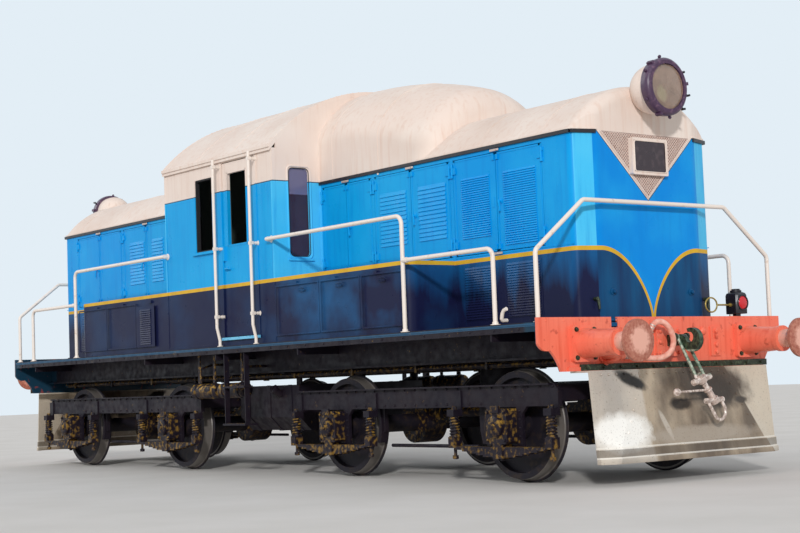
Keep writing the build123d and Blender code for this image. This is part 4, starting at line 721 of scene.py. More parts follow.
class LOCO_OT_stage(bpy.types.Operator):
    """Lays the floor, lights it softly and sets the camera"""

    bl_idname = "loco.stage"
    bl_label = "Stage"

    def execute(self, context):
        scene = context.scene
        floor = Form().box((-60, -60, -0.05), (60, 60, 0)).link("floor")
        material, tree, at = blank("pale_floor")
        shade = add(tree, "Mix", {0: cloudy(tree, at, 900, 4, 0.3, 0.7), 6: linear("#D6D2CC"),
                                  7: linear("#DEDAD5")}, data_type="RGBA")
        add(tree, "OutputMaterial", [add(tree, "BsdfPrincipled", {"Base Color": shade, "Roughness": 0.9})])
        floor.data.materials.append(material)

        world = bpy.data.worlds.new("soft_sky")
        scene.world = world
        world.use_nodes = True
        tree = world.node_tree
        tree.nodes.clear()
        rays = add(tree, "LightPath").outputs
        seen = add(tree, "Math", [rays["Is Camera Ray"], rays["Is Transmission Ray"]], operation="MAXIMUM")
        seen = add(tree, "Math", [seen, rays["Is Glossy Ray"]], operation="MAXIMUM")
        light = add(tree, "Background", [linear("#F4F6FA"), 0.60])
        backdrop = add(tree, "Background", [linear("#E3EEF6"), 1.0])
        add(tree, "OutputWorld", [add(tree, "MixShader", [seen, light, backdrop])])

        for name, energy, direction, angle in (
            ("sun_key", 2.0, (-0.92, 0.80, -0.42), 4.0),
            ("sun_fill", 0.3, (0.9, 0.5, -0.5), 30.0),
        ):
            lamp = bpy.data.lights.new(name, "SUN")
            lamp.energy, lamp.angle = energy, radians(angle)
            holder = bpy.data.objects.new(name, lamp)
            holder.rotation_euler = Vector(direction).to_track_quat("-Z", "Y").to_euler()
            scene.collection.objects.link(holder)

        lens = bpy.data.cameras.new("camera")
        lens.sensor_width, lens.lens, lens.sensor_fit = 36.0, 71.2708, "HORIZONTAL"
        lens.clip_end = 300
        camera = bpy.data.objects.new("camera", lens)
        scene.collection.objects.link(camera)
        right = Vector((0.60900002, 0.79229373, -0.03727758))
        up = Vector((0.08074507, -0.01517392, 0.99661928))
        back = Vector((0.78904956, -0.60995114, -0.07321473))
        camera.matrix_world = Matrix.Translation((13.98463, -9.82278, 0.87596)) @ Matrix(
            (right, up, back)).transposed().to_4x4()
        scene.camera = camera
        scene.view_settings.view_transform = "Standard"
        return {"FINISHED"}


# Points of the front brake hose: up out of its pipe, over in a tight bow and back under the buffer.
HOSE_ROUTE = (
    (4.948, -0.272, 1.228), (4.972, -0.247, 1.297), (5.006, -0.176, 1.300), (5.032, -0.118, 1.232),
    (5.040, -0.092, 1.135), (5.032, -0.122, 1.046), (5.012, -0.215, 0.998), (4.994, -0.345, 0.998),
    (4.984, -0.500, 1.018), (4.980, -0.630, 1.026),
)


class LOCO_OT_brake_hoses(bpy.types.Operator):
    """Hangs a brake hose in its bow at each end"""

    bl_idname = "loco.brake_hoses"
    bl_label = "Brake hoses"

    def execute(self, context):
        trim = context.scene.loco_trim
        for end, turn in (("front", 1), ("rear", -1)):
            route = [Vector((turn * x, turn * y, z)) for x, y, z in HOSE_ROUTE]
            line = bpy.data.curves.new(f"brake_hose_bow_{end}", "CURVE")
            line.dimensions = "3D"
            spline = line.splines.new("NURBS")
            spline.points.add(len(route) - 1)
            for point, place in zip(spline.points, route):
                point.co = (*place, 1.0)
            spline.order_u = 3
            spline.use_endpoint_u = True
            line.resolution_u, line.bevel_resolution = 16, 6
            line.bevel_depth = trim.hose / 2
            line.use_fill_caps = True
            line.materials.append(finishes["hose"])
            hose = bpy.data.objects.new(f"brake_hose_bow_{end}", line)
            context.scene.collection.objects.link(hose)
            clips = Form()
            inner, outer = trim.hose / 2 - 0.002, trim.hose / 2 + 0.0025
            for near, far in ((route[0], route[1]), (route[-1], route[-2])):
                way = (far - near).normalized()
                for step in (0.024, 0.048):
                    clips.lathe([(-0.006, inner), (-0.006, outer), (0.006, outer), (0.006, inner)],
                                near + way * step, way, 28, looped=True)
            clamps = piece(f"hose_clips_{end}", clips, "bright", smooth=40)
            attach(hose, "frame")
            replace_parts(hose, f"brake_hose_{end}")
        return {"FINISHED"}


class LOCO_OT_grille(bpy.types.Operator):
    """Weaves the wire grille of the V on each end"""

    bl_idname = "loco.grille"
    bl_label = "End grilles"

    def execute(self, context):
        trim, livery = context.scene.loco_trim, context.scene.loco_livery
        top, tip = livery.cream_line - 0.012, livery.vee_tip + 0.03
        half = HALF_FACE * (top - tip) / (livery.cream_line - livery.vee_tip)
        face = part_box("hood_front")[1].x
        box_low, box_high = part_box("number_boxes")
        box_half = (box_high.y - box_low.y) / 2
        form = Form()
        step = trim.mesh_pitch * sqrt(2)
        slope = (top - tip) / half
        count = int((top - tip + half) / step) + 2
        for lean, proud in ((1, 0.0035), (-1, 0.0065)):
            for number in range(-count, count):
                # the line z = tip + offset + lean * y, cut to the triangle
                offset = number * step
                inside = [y for y in (i * 0.004 - half for i in range(int(half / 0.002) + 1))
                          if tip + slope * abs(y) <= tip + offset + lean * y <= top
                          and not (abs(y) < box_half and box_low.z < tip + offset + lean * y < box_high.z)]
                runs, last = [], None
                for y in inside:
                    if last is None or y - last > 0.006:
                        runs.append([y, y])
                    runs[-1][1] = last = y
                for run in runs:
                    if run[1] - run[0] > 0.008:
                        ends = [(face + proud, y, tip + offset + lean * y) for y in run]
                        form.tube(ends, trim.mesh_wire / 2, 5)
        piece("grille_wires", form, "wire", ENDS)
        # a darker sheet behind the wires stands for the shade in the gap: painted shade
        plate = [(0, tip - 0.004), (half, top + 0.004), (-half, top + 0.004)]
        plate = Form().slab(plate, face - 0.002, 0.003)
        piece("grille_backing_painted_shade", plate, "shade", ENDS)
        rim = Form()
        for side in (half, -half):
            rim.tube([(face + 0.006, side, top + 0.002), (face + 0.006, 0, tip - 0.012)], 0.0045, 8)
        piece("grille_edging", rim, "roof", ENDS)
        return {"FINISHED"}


class LOCO_OT_headlights(bpy.types.Operator):
    """Gives each headlight its dish, bulb, fluted lens and clamps"""

    bl_idname = "loco.headlights"
    bl_label = "Headlights"

    def execute(self, context):
        front, ring_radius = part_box("headlights")[1].x, 0.238
        lens_low, lens_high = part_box("headlight_lenses")
        level, radius = (lens_low.z + lens_high.z) / 2, (lens_high.z - lens_low.z) / 2
        middle = (front, 0, level)
        shell = Form().lathe([(-0.089, 0.208), (-0.089, 0.242), (-0.061, 0.245), (-0.038, 0.246),
                              (-0.018, 0.244), (-0.001, 0.226), (-0.001, radius + 0.003),
                              (-0.030, radius + 0.001), (-0.030, 0.208)], middle, AHEAD, 64, looped=True)
        for turn in (100, 152, 208, 280):
            out = Vector((0, cos(radians(turn)), sin(radians(turn))))
            at = Vector((front - 0.051, 0, level)) + out * (ring_radius + 0.004)
            shell.tube([at - out * 0.01, at + out * 0.022], 0.011, 10)
            shell.bolt(at + out * 0.016 + Vector((0.006, 0, 0)), AHEAD, 0.020)
        piece("headlight_bezels", shell, "bezel", ENDS, smooth=50)
        latch = Form()
        for turn, reach in ((-10, 0.050), (-38, 0.040), (32, 0.035)):
            out = Vector((0, cos(radians(turn)), sin(radians(turn))))
            base = Vector((front - 0.05, 0, level)) + out * ring_radius
            tip = base + out * reach
            latch.tube([base, tip], [0.012, 0.008], 10)
            latch.tube([tip - Vector((0.016, 0, 0)), tip + Vector((0.024, 0, 0))], 0.010, 10)
        piece("headlight_latches", latch, "black", ENDS, smooth=50)

        radii = [radius * 0.99 * sin(pi / 2 * i / 8) for i in range(9)]
        rows = [(-0.016 - 0.032 * (1 - (r / radius) ** 2), max(r, 0.004)) for r in radii]
        rows += [(-0.049, radius * 0.99), (-0.0495, 0.004)]
        dish = Form().lathe(rows, middle, AHEAD, 48)
        piece("headlight_dishes", dish, "reflector", ENDS, smooth=60)
        bulb = Form().lathe([(-0.046, 0.012), (-0.040, 0.016), (-0.034, 0.017), (-0.026, 0.012),
                             (-0.0225, 0.003)], middle, AHEAD, 16)
        piece("headlight_bulbs", bulb, "lens", ENDS, smooth=60)

        glass = Form()
        sides, rings = 72, 7
        for skin, back in ((1, front - 0.016), (-1, front - 0.021)):
            points = [(back + 0.020, 0, level)]
            for ring in range(1, rings + 1):
                r = radius * ring / rings
                for a in circle(sides):
                    ridge = 0.0012 * cos(r * cos(a) * 2 * pi / 0.022) if ring < rings else 0
                    points.append((back + 0.020 * (1 - (r / radius) ** 2) + ridge * skin,
                                   r * cos(a), level + r * sin(a)))
            faces = [(0, 1 + i, 1 + (i + 1) % sides) for i in range(sides)]
            for a in range(1, 1 + (rings - 1) * sides, sides):
                b = a + sides
                faces += [(a + i, b + i, b + (i + 1) % sides, a + (i + 1) % sides) for i in range(sides)]
            glass.add(points, faces if skin > 0 else [f[::-1] for f in faces])
        near, far = 1 + (rings - 1) * sides, 2 + (2 * rings - 1) * sides
        glass.faces += [(near + i, far + i, far + (i + 1) % sides, near + (i + 1) % sides)
                        for i in range(sides)]
        lens = piece("headlight_glasses", glass, "lens", ENDS, smooth=60)
        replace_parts(lens, "headlight_lenses")
        return {"FINISHED"}


def rounded(y0, y1, z0, z1, radius, steps):
    """Points round a rectangle with rounded corners, in the plane of Y and Z."""
    points = []
    for cy, cz, start in ((y1 - radius, z1 - radius, 0), (y0 + radius, z1 - radius, 90),
                          (y0 + radius, z0 + radius, 180), (y1 - radius, z0 + radius, 270)):
        for a in (radians(start + 90 * i / steps) for i in range(steps + 1)):
            points.append((cy + radius * cos(a), cz + radius * sin(a)))
    return points


class LOCO_OT_number_panels(bpy.types.Operator):
    """Fits the blank glass panels in their boxes"""

    bl_idname = "loco.number_panels"
    bl_label = "Number panels"

    def execute(self, context):
        low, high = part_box("number_boxes")
        margin, past_glass = 0.025, 0.014
        half, z0, z1 = high.y - margin, low.z + margin, high.z - margin
        outline = rounded(-half, half, z0, z1, 0.022, 3)
        panel = Form().slab(outline, high.x - 0.008, 0.004)
        piece("number_glasses", panel, "panel", ENDS, bevel=0.0015)
        rim = Form().tube([(high.x + 0.001, y, z) for y, z in outline], 0.005, 8, closed=True)
        for y in (-half / 2, half / 2):
            for z in (z0 - past_glass, z1 + past_glass):
                rim.rivet((high.x, y, z), AHEAD, 0.010)
        piece("number_rims", rim, "roof", ENDS, smooth=60)
        return {"FINISHED"}


class LOCO_OT_hood_trim(bpy.types.Operator):
    """Gutters, turn buttons, seams, rivets and the louvres below the waist"""

    bl_idname = "loco.hood_trim"
    bl_label = "Hood trim"

    def execute(self, context):
        trim = context.scene.loco_trim
        skin = HOOD_SIDE - 0.001  # fittings start inside the sheet
        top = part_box("hood_front")[1].z - 0.001
        foot = top - 0.031
        # black strips under the gutters: partly a real dark strip, partly painted shade under the drip
        strips = Form().box((1.072, HOOD_SIDE - 0.002, foot), (CORNER_X, HOOD_SIDE + 0.017, top))
        corner = Vector((FACE_X - CORNER_X, HALF_FACE - HOOD_SIDE, 0)).normalized()
        strips.prism([(0, foot), (0, top), (0.236, top), (0.236, foot)], (CORNER_X, HOOD_SIDE, 0), corner,
                     UP, Vector((-corner.y, corner.x, 0)) * 0.015)
        piece("gutter_strips", strips, "black", CORNERS, bevel=0.002)

        buttons = Form()
        for bay in "123":
            near, far = (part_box(f"hood_door_front_left_{bay}{leaf}") for leaf in "ab")
            middle = (near[1].x + far[0].x) / 2
            for z in (near[1].z + 0.022, near[0].z - 0.020):
                buttons.lathe([(0, 0.013), (0.014, 0.012), (0.018, 0.006)], (middle, skin, z), LEFT, 10)
                buttons.prism([(-0.055, -0.010), (0.055, -0.010), (0.058, 0), (0.055, 0.010),
                               (-0.055, 0.010), (-0.058, 0)], (middle, HOOD_SIDE + 0.010, z), AHEAD, UP,
                              (0, 0.008, 0))
        # the buttons take the pale rubbed steel so that they show as bright glints: partly painted highlight
        piece("hood_turn_buttons", buttons, "bright", CORNERS, bevel=0.002)

        # rows of rivets between the sheets, a kicking strip at the foot and a seam at the waist
        seams = Form()
        for x in (1.951, 3.131, 4.345, 4.505):
            seams.row(seams.rivet, (x, skin, 2.02), (0, 0, 0.062), 14, LEFT, trim.rivet * 0.7)
        seams.box((3.150, skin, 1.312), (4.668, HOOD_SIDE + 0.006, 1.352))
        seams.row(seams.rivet, (3.18, HOOD_SIDE + 0.005, 1.332), (0.072, 0, 0), 21, LEFT, trim.rivet * 0.8)
        seams.box((3.150, skin, 1.955), (4.668, HOOD_SIDE + 0.003, 1.962))
        piece("hood_seams", seams, "body", CORNERS)

        slats = Form()
        foot, pitch, count = 1.402, 0.022, 21
        outline = [(HOOD_SIDE + out, foot + k * pitch + up) for k in range(count)
                   for out, up in ((0.013, 0.002), (0.005, 0.021))]
        outline = [(HOOD_SIDE, foot), *outline, (HOOD_SIDE, foot + count * pitch)]
        for x0, x1 in ((3.275, 3.655), (3.835, 4.250)):
            slats.box((x0 - 0.018, skin, 1.392), (x1 + 0.018, HOOD_SIDE + 0.004, 1.872))
            slats.slab(outline, x0, x1 - x0)
        piece("lower_louvres", slats, "body", CORNERS)

        # side lockers: a louvred panel on the rear one, sunk handles along the front one, and seams
        wall = -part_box("side_lockers")[0].y
        lockers = Form().box((-1.732, wall - 0.001, 1.372), (-1.323, wall + 0.004, 1.820))
        outline = [(wall + out, level + k * 0.023) for k in range(17)
                   for out, level in ((0.014, 1.401), (0.005, 1.421))]
        lockers.slab([(wall + 0.003, 1.399), *outline, (wall + 0.003, 1.790)], -1.638, 0.238)
        z0, z1, seam = 1.372, 1.860, 0.014
        for x0, x1 in ((-3.14, -2.45), (-2.43, -1.75), (1.09, 1.83), (1.85, 2.48), (2.50, 3.13)):
            for a, b, c, d in ((x0, x1, z0, z0 + seam), (x0, x1, z1 - seam, z1),
                               (x0, x0 + seam, z0 + seam, z1 - seam), (x1 - seam, x1, z0 + seam, z1 - seam)):
                lockers.box((a, wall - 0.001, c), (b, wall + 0.002, d))
        for x in (1.555, 2.162, 2.819):
            lockers.tube([(x + 0.055 * cos(a), wall + 0.002, 1.797 + 0.018 * sin(a)) for a in circle(24)],
                         0.004, 8, closed=True)
            lockers.box((x - 0.045, wall, 1.790), (x + 0.045, wall + 0.010, 1.796))
        piece("locker_fittings", lockers, "body", (FLIP, TURN @ FLIP), smooth=40)
        elbow = Form().tube([(4.396, -1.340, 1.345), (4.396, -1.390, 1.345), (4.400, -1.400, 1.360),
                             (4.410, -1.400, 1.400), (4.430, -1.400, 1.425), (4.462, -1.400, 1.436)],
                            0.016, 12)
        piece("overflow_pipes", elbow, "rail", ENDS, smooth=60)

        # end face: foot strip, knobs and sandbox latches low down
        face = Form().box((FACE_X - 0.002, -0.56, 1.312), (FACE_X + 0.006, 0.56, 1.350))
        face.row(face.rivet, (FACE_X + 0.005, -0.53, 1.331), (0, 0.0707, 0), 16, AHEAD, trim.rivet * 0.8)
        latches = Form()
        for side in (-1, 1):
            face.lathe([(0, 0.03), (0.006, 0.03), (0.010, 0.018), (0.03, 0.016), (0.034, 0.008)],
                       (FACE_X, side * 0.47, 1.56), AHEAD, 14)
            at = Vector((4.715, side * 0.66, 1.50))
            latches.tube([at, at + Vector((0.05, side * 0.012, 0))], 0.016, 10)
            latches.tube([at + Vector((0.045, 0, 0.0)), at + Vector((0.055, 0, -0.085))], [0.013, 0.009], 8)
        piece("end_face_fittings", face, "body", ENDS, smooth=50)
        piece("end_latches", latches, "forged", ENDS, smooth=50)
        return {"FINISHED"}


class LOCO_OT_door_trim(bpy.types.Operator):
    """Edge beads, handles and rivets on every hood door"""

    bl_idname = "loco.door_trim"
    bl_label = "Hood door trim"

    def execute(self, context):
        hinge_gap = 0.030
        for name in sorted(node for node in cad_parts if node.startswith("hood_door")):
            low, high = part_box(name)
            left, rear, leaf_a = high.y > 0, high.x < 0, name.endswith("a")
            # in the front left corner's own frame
            x0, x1 = (-high.x, -low.x) if rear else (low.x, high.x)
            x0, x1 = (x0 + hinge_gap, x1) if leaf_a else (x0, x1 - hinge_gap)
            form = Form()
            form.border((x0, x1), (low.z, high.z), (HOOD_SIDE - 0.0005, HOOD_SIDE + 0.0035), 0.016)
            free, inward = (x1, -1) if leaf_a else (x0, 1)
            at = Vector((free + inward * 0.042, HOOD_SIDE, (low.z + high.z) / 2))
            if leaf_a:
                # the leaf that is shut first has a flush catch, so that it can fold right back
                form.box(at - Vector((0.016, 0, 0.045)), at + Vector((0.016, 0.004, 0.045)))
            else:
                form.lathe([(0, 0.024), (0.006, 0.024), (0.008, 0.012), (0.030, 0.011), (0.034, 0.006)],
                           at, LEFT, 14)
                form.tube([at + Vector((0, 0.026, 0.004)), at + Vector((inward * 0.012, 0.030, -0.045)),
                           at + Vector((inward * 0.014, 0.028, -0.088))], [0.009, 0.008, 0.010], 8)
            place = CORNERS[2 * rear + (left == rear)]
            piece("trim_" + name, form, "body", (place,), name)
        return {"FINISHED"}


def grown(points, by):
    """The same ring of points, moved outward from its middle."""
    cy, cz = (sum(values) / len(points) for values in zip(*points))
    return [(y + by * (1 if y > cy else -1), z + by * (1 if z > cz else -1)) for y, z in points]


class LOCO_OT_cab_trim(bpy.types.Operator):
    """Door frames, window frames, beading, hinges and grab handles of the cab"""

    bl_idname = "loco.cab_trim"
    bl_label = "Cab trim"

    def execute(self, context):
        trim = context.scene.loco_trim
        skin = -CAB_SIDE + 0.001  # right side: fittings start inside the sheet
        x0, x1, z0, z1, wide = 0.112, 0.754, 1.400, 3.190, 0.028  # door opening and its frame
        wx0, wx1, wz0, wz1, edge = -0.415, -0.075, 2.311, 3.071, 0.020  # side window likewise
        form = Form()
        for a, b in ((x0 - wide, x0), (x1, x1 + wide)):
            form.box((a, -CAB_SIDE - 0.007, z0 - wide), (b, skin, z1))
        # the door sill's pale blue finish is partly a painted highlight along the ledge
        sill = Form().box((x0 - wide, -CAB_SIDE - 0.028, z0 - 0.030), (x1 + wide, skin, z0 - 0.001))
        piece("cab_door_sills", sill, "sill", ENDS, bevel=0.002)
        for a, b, c in ((wx0 - edge, wx0, wz0 - edge), (wx1, wx1 + edge, wz0 - edge), (wx0, wx1, wz1)):
            form.box((a, -CAB_SIDE - 0.005, c), (b, skin, wz1 + edge))
        form.box((wx0 - 0.045, -CAB_SIDE - 0.030, wz0 - 0.030), (wx1 + 0.045, skin, wz0 - 0.002))
        # corner beads with their rivets, and foot strips
        for x in (-1.050, 1.050):
            form.box((x - 0.014, -CAB_SIDE - 0.004, 1.312), (x + 0.014, skin, 3.235))
            form.row(form.rivet, (x, -CAB_SIDE - 0.003, 1.34), (0, 0, 0.064), 30, RIGHT, trim.rivet * 0.7)
        for a, b in ((-1.036, x0 - wide), (x1 + wide, 1.036)):
            form.box((a, -CAB_SIDE - 0.004, 1.312), (b, skin, 1.340))
        piece("cab_side_trim", form, "body", ENDS, bevel=0.0015, segments=1)
        rubber = Form()
        rubber.border((wx0, wx1), (wz0, wz1), (-CAB_SIDE + 0.004, -CAB_SIDE + 0.046), 0.014)
        piece("cab_side_channels", rubber, "rubber", ENDS)

        # gutter over the side, end window frames
        roof = Form()
        for inner, z0, z1 in ((-CAB_SIDE - 0.020, 3.232, 3.262), (skin, 3.228, 3.234)):
            roof.box((-1.066, -CAB_SIDE - 0.034, z0), (1.066, inner, z1))
        piece("cab_gutters", roof, "roof", ENDS, bevel=0.002)
        frames, gaskets = Form(), Form()
        for y0, y1 in ((0.950, 1.185), (-1.185, -0.950)):
            ring = rounded(y0, y1, 2.157, 3.032, 0.045, 5)
            frames.tube([(1.071, y, z) for y, z in grown(ring, 0.020)], 0.011, 8, closed=True)
            gaskets.tube([(1.068, y, z) for y, z in grown(ring, 0.002)], 0.004, 8, closed=True)
            frames.box((1.070, y0 - 0.030, 2.112), (1.090, y1 + 0.030, 2.130))
        piece("end_window_frames", frames, "body", ENDS, smooth=50)
        piece("end_window_gaskets", gaskets, "rubber", ENDS, smooth=60)

        face = -CAB_SIDE + 0.010
        door = Form()
        for x0, x1, z0, z1 in ((0.205, 0.572, 2.322, 2.340), (0.205, 0.572, 3.070, 3.088),
                               (0.194, 0.212, 2.322, 3.088), (0.564, 0.582, 2.322, 3.088)):
            door.box((x0, face - 0.004, z0), (x1, face + 0.001, z1))
        door.box((0.122, face - 0.003, 1.408), (0.746, face + 0.001, 1.560))
        for z in (1.430, 1.540):
            door.row(door.rivet, (0.150, face - 0.002, z), (0.094, 0, 0), 7, RIGHT, trim.rivet * 0.8)
        door.lathe([(0, 0.026), (0.004, 0.026), (0.006, 0.012), (0.026, 0.011)], (0.165, face, 2.10),
                   RIGHT, 14)
        door.tube([(0.165, face - 0.024, 2.10), (0.20, face - 0.028, 2.098), (0.262, face - 0.026, 2.094)],
                  [0.010, 0.009, 0.008], 8)
        for name, place in (("cab_door_right", WHOLE), ("cab_door_left", TURN)):
            piece("trim_" + name, door, "body", (place,), name)
        return {"FINISHED"}


def fairing_line(x, proud):
    """Points over the fairing at one place along it, some distance outside its sheet, from side to side."""
    radius, flank, bend = 0.9159, 0.520, 0.300
    crown, end_x, end_radius = 3.858, 1.300, 4.700
    middle = crown - radius
    rise = sqrt((radius - bend) ** 2 - flank ** 2)
    lean = asin(rise / (radius - bend))
    half = [(flank + bend + proud, 2.930 if x > end_x else 2.920)]
    half += [(flank + (bend + proud) * cos(a), middle + rise + (bend + proud) * sin(a))
             for a in (lean * i / 6 for i in range(7))]
    half += [((radius + proud) * cos(a), middle + (radius + proud) * sin(a))
             for a in (lean + (pi / 2 - lean) * i / 10 for i in range(1, 11))]
    drop_x, axis_z = max(x - end_x, 0), crown - end_radius
    line = [(y, axis_z + sqrt((z - axis_z) ** 2 - drop_x ** 2)) for y, z in half]
    return line + [(-y, z) for y, z in line[-2::-1]]


def roof_line(half, crown, gutter, steps):
    """Points over an arched roof from side to side, its radius, and half the angle of its arc."""
    rise = crown - gutter
    radius = (half ** 2 + rise ** 2) / (2 * rise)
    reach = asin(half / radius)
    line = [(radius * sin(a), crown - radius + radius * cos(a))
            for a in (-reach + 2 * reach * i / steps for i in range(steps + 1))]
    return line, radius, reach


class LOCO_OT_roof_trim(bpy.types.Operator):
    """Seams and rivets of the roofs and the fairing"""

    bl_idname = "loco.roof_trim"
    bl_label = "Roof trim"

    def execute(self, context):
        trim = context.scene.loco_trim
        crown, proud = 3.875, 0.004
        line, radius, reach = roof_line(1.400, crown, 3.258, 32)
        straps = Form()
        for x in (-1.058, -0.36, 0.36, 1.058):
            outer = [(y, min(z + proud, crown - 0.0004)) for y, z in line]
            straps.slab(outer + line[::-1], x - 0.011, 0.022)
            for i in range(1, 44):
                a = -reach + 2 * reach * i / 44
                out = Vector((0, sin(a), cos(a)))
                if abs(a) > 0.12:
                    at = Vector((x, 0, crown - radius)) + out * (radius + 0.0035)
                    straps.rivet(at, out, trim.rivet * 0.75)
        piece("cab_roof_straps", straps, "roof")

        line = roof_line(HOOD_SIDE, CROWN_Z, GUTTER_Z, 24)[0]
        outline = [(y, z + proud) for y, z in line] + line[::-1]
        seams = Form()
        for x, ends in ((3.477, (WHOLE,)), (4.30, ENDS), (3.262, (TURN,)), (2.20, (TURN,))):
            seams.join(Form().slab(outline, x - 0.010, 0.020).spread(ends))
        # a lap between the fairing's sheets, over its level top and its curving end
        for x in (1.300, 2.050):
            seams.slab(fairing_line(x, proud) + fairing_line(x, -0.003)[::-1], x - 0.010, 0.020)
        piece("roof_seams", seams, "roof")
        return {"FINISHED"}


class LOCO_OT_headstock_fittings(bpy.types.Operator):
    """Bolts, brackets and the angle below each headstock"""

    bl_idname = "loco.headstock_fittings"
    bl_label = "Headstock fittings"

    def execute(self, context):
        trim = context.scene.loco_trim
        bolts = Form()
        for side in (-BUFFER_Y, BUFFER_Y):
            for dy in (-0.098, 0.098):
                bolts.row(bolts.bolt, (4.915, side + dy, BUFFER_Z - 0.112), (0, 0, 0.224), 2, AHEAD, 0.028)
        piece("buffer_bolts", bolts, "forged", ENDS)
        plates = Form()
        for y in (-0.112, 0.112):
            plates.row(plates.bolt, (4.900, y, BUFFER_Z - 0.09), (0, 0, 0.09), 3, AHEAD, 0.030)
        for z in (1.041, 1.102, 1.171, 1.220):
            plates.bolt((4.889, 0.590, z), AHEAD, 0.034)
        plates.lathe([(-0.001, 0.034), (0.010, 0.034), (0.020, 0.022), (0.024, 0.008)], (4.875, 0.445, 1.220),
                     AHEAD, 18)
        plates.row(plates.rivet, (4.874, -1.36, 1.318), (0, 0.194, 0), 15, AHEAD, trim.rivet)
        piece("headstock_plates", plates, "vermilion", ENDS, smooth=50)
        angle = Form().box((4.876, -1.020, 0.917), (4.892, 1.240, 0.969))
        angle.row(angle.bolt, (4.892, -0.96, 0.943), (0, 0.193, 0), 12, AHEAD, 0.022)
        piece("plough_angles", angle, "forged", ENDS, bevel=0.002)
        # the brake pipe's elbow, painted with the headstock, that the hose is pushed on to
        elbow = Form().tube([(4.860, -0.740, PIPE_Z), (4.930, -0.740, PIPE_Z), (4.962, -0.737, 0.987),
                             (4.976, -0.722, 0.996), (4.981, -0.700, 1.010), (4.981, -0.660, 1.024),
                             HOSE_ROUTE[-1]], 0.021, 14)
        elbow.lathe([(-0.012, 0.030), (0.012, 0.030)], (4.981, -0.668, 1.022), (0, 1, 0.1), 8)
        elbow.lathe([(-0.010, 0.032), (0.014, 0.032)], (4.890, -0.740, PIPE_Z), AHEAD, 8)
        piece("hose_elbows", elbow, "vermilion", ENDS, smooth=50)
        latch = Form().box((4.846, -0.640, 1.268), (4.874, -0.572, 1.300))
        latch.tube([(4.860, -0.648, 1.322), (4.860, -0.564, 1.322)], 0.010, 10)
        piece("lamp_slot_latches", latch, "body", ENDS, bevel=0.003)
        return {"FINISHED"}


class LOCO_OT_plough_fittings(bpy.types.Operator):
    """Rivets of the track ploughs"""

    bl_idname = "loco.plough_fittings"
    bl_label = "Plough fittings"

    def execute(self, context):
        form = Form()
        top, foot = Vector(PLOUGH_TOP), Vector(PLOUGH_FOOT)
        lean = (foot - top).normalized()
        out = Vector((-lean.z, 0, lean.x))
        first = top + lean * 0.035 - Vector((0, 0.94, 0))
        form.row(form.rivet, first, (0, 0.086, 0), 17, out, 0.022)
        # along the fold, which runs outward from the top to the foot
        for share in (0.08, 0.2, 0.32, 0.44, 0.56, 0.68):
            fold = 0.520 + 0.404 * share - 0.045
            for y in (fold, -fold):
                form.rivet(top.lerp(foot, share) + Vector((0, y, 0)), out, 0.020)
        piece("plough_rivets", form, "plough", ENDS)
        return {"FINISHED"}


class LOCO_OT_running_gear(bpy.types.Operator):
    """Coil springs, axle box covers, straps and brake rods of the bogies"""

    bl_idname = "loco.running_gear"
    bl_label = "Running gear"

    def execute(self, context):
        trim = context.scene.loco_trim
        turns = 2 * pi * trim.coil_turns
        form, frames = Form(), Form()  # about the bogie's own middle
        for side in (1, -1):
            out, spring_y, plate_y = (0, side, 0), side * 1.120, side * 1.065
            for x in (-AXLE_X, AXLE_X):
                at = Vector((x, side * 1.205, AXLE_Z))
                form.lathe([(-0.004, 0.086), (0.004, 0.086), (0.012, 0.072), (0.014, 0.030), (0.026, 0.026),
                            (0.028, 0.010)], at, out, 24)
                for a in circle(6):
                    form.bolt(at + Vector((0.076 * cos(a), 0, 0.076 * sin(a))), out, 0.014)
                for dx in (-0.105, 0.105):
                    corner = (x + dx, side * 1.180, AXLE_Z - 0.115)
                    form.row(form.bolt, corner, (0, 0, 0.230), 2, out, 0.022)
                form.box((x - 0.05, side * 1.176, 0.60), (x + 0.05, side * 1.196, 0.655))
                # coil spring round each hanger
                for hanger_x in (x - 0.610, x + 0.610):
                    path = [(hanger_x + 0.040 * cos(a), spring_y + 0.040 * sin(a), 0.405 + 0.155 * a / turns)
                            for a in (2 * pi * i / 12 for i in range(12 * trim.coil_turns + 1))]
                    form.tube(path, 0.008, 6)
                    form.lathe([(0, 0.050), (0.012, 0.050)], (hanger_x, spring_y, 0.392), UP, 16)
                    form.bolt((hanger_x, spring_y, 0.632), UP, 0.040)
                # spring buckle
                form.box((x - 0.062, side * 1.060, 0.222), (x + 0.062, side * 1.172, 0.334))
                form.bolt((x, spring_y, 0.222), (0, 0, -1), 0.034)
                for dx in (-0.168, 0.168):
                    frames.row(frames.rivet, (x + dx, plate_y, 0.40), (0, 0, 0.07), 4, out, 0.022)
                frames.box((x - 0.21, side * 1.040, 0.306), (x + 0.21, side * 1.060, 0.330))
            for x, z, count in ((-1.8, 0.805, 25), (-0.9, 0.672, 13)):
                frames.row(frames.rivet, (x, plate_y, z), (0.15, 0, 0), count, out, 0.024)
            # brake pull rod along the inside
            frames.tube([(-0.62, side * 0.86, 0.30), (0.62, side * 0.86, 0.30)], 0.016, 8)
        for end, centre in (("front", BOGIE_X), ("rear", -BOGIE_X)):
            place = (Matrix.Translation((centre, 0, 0)),)
            piece(f"axle_box_fittings_{end}", form, "gear", place, f"bogie_{end}", smooth=40)
            piece(f"bogie_rivets_{end}", frames, "frame", place, f"bogie_{end}", smooth=40)
        return {"FINISHED"}


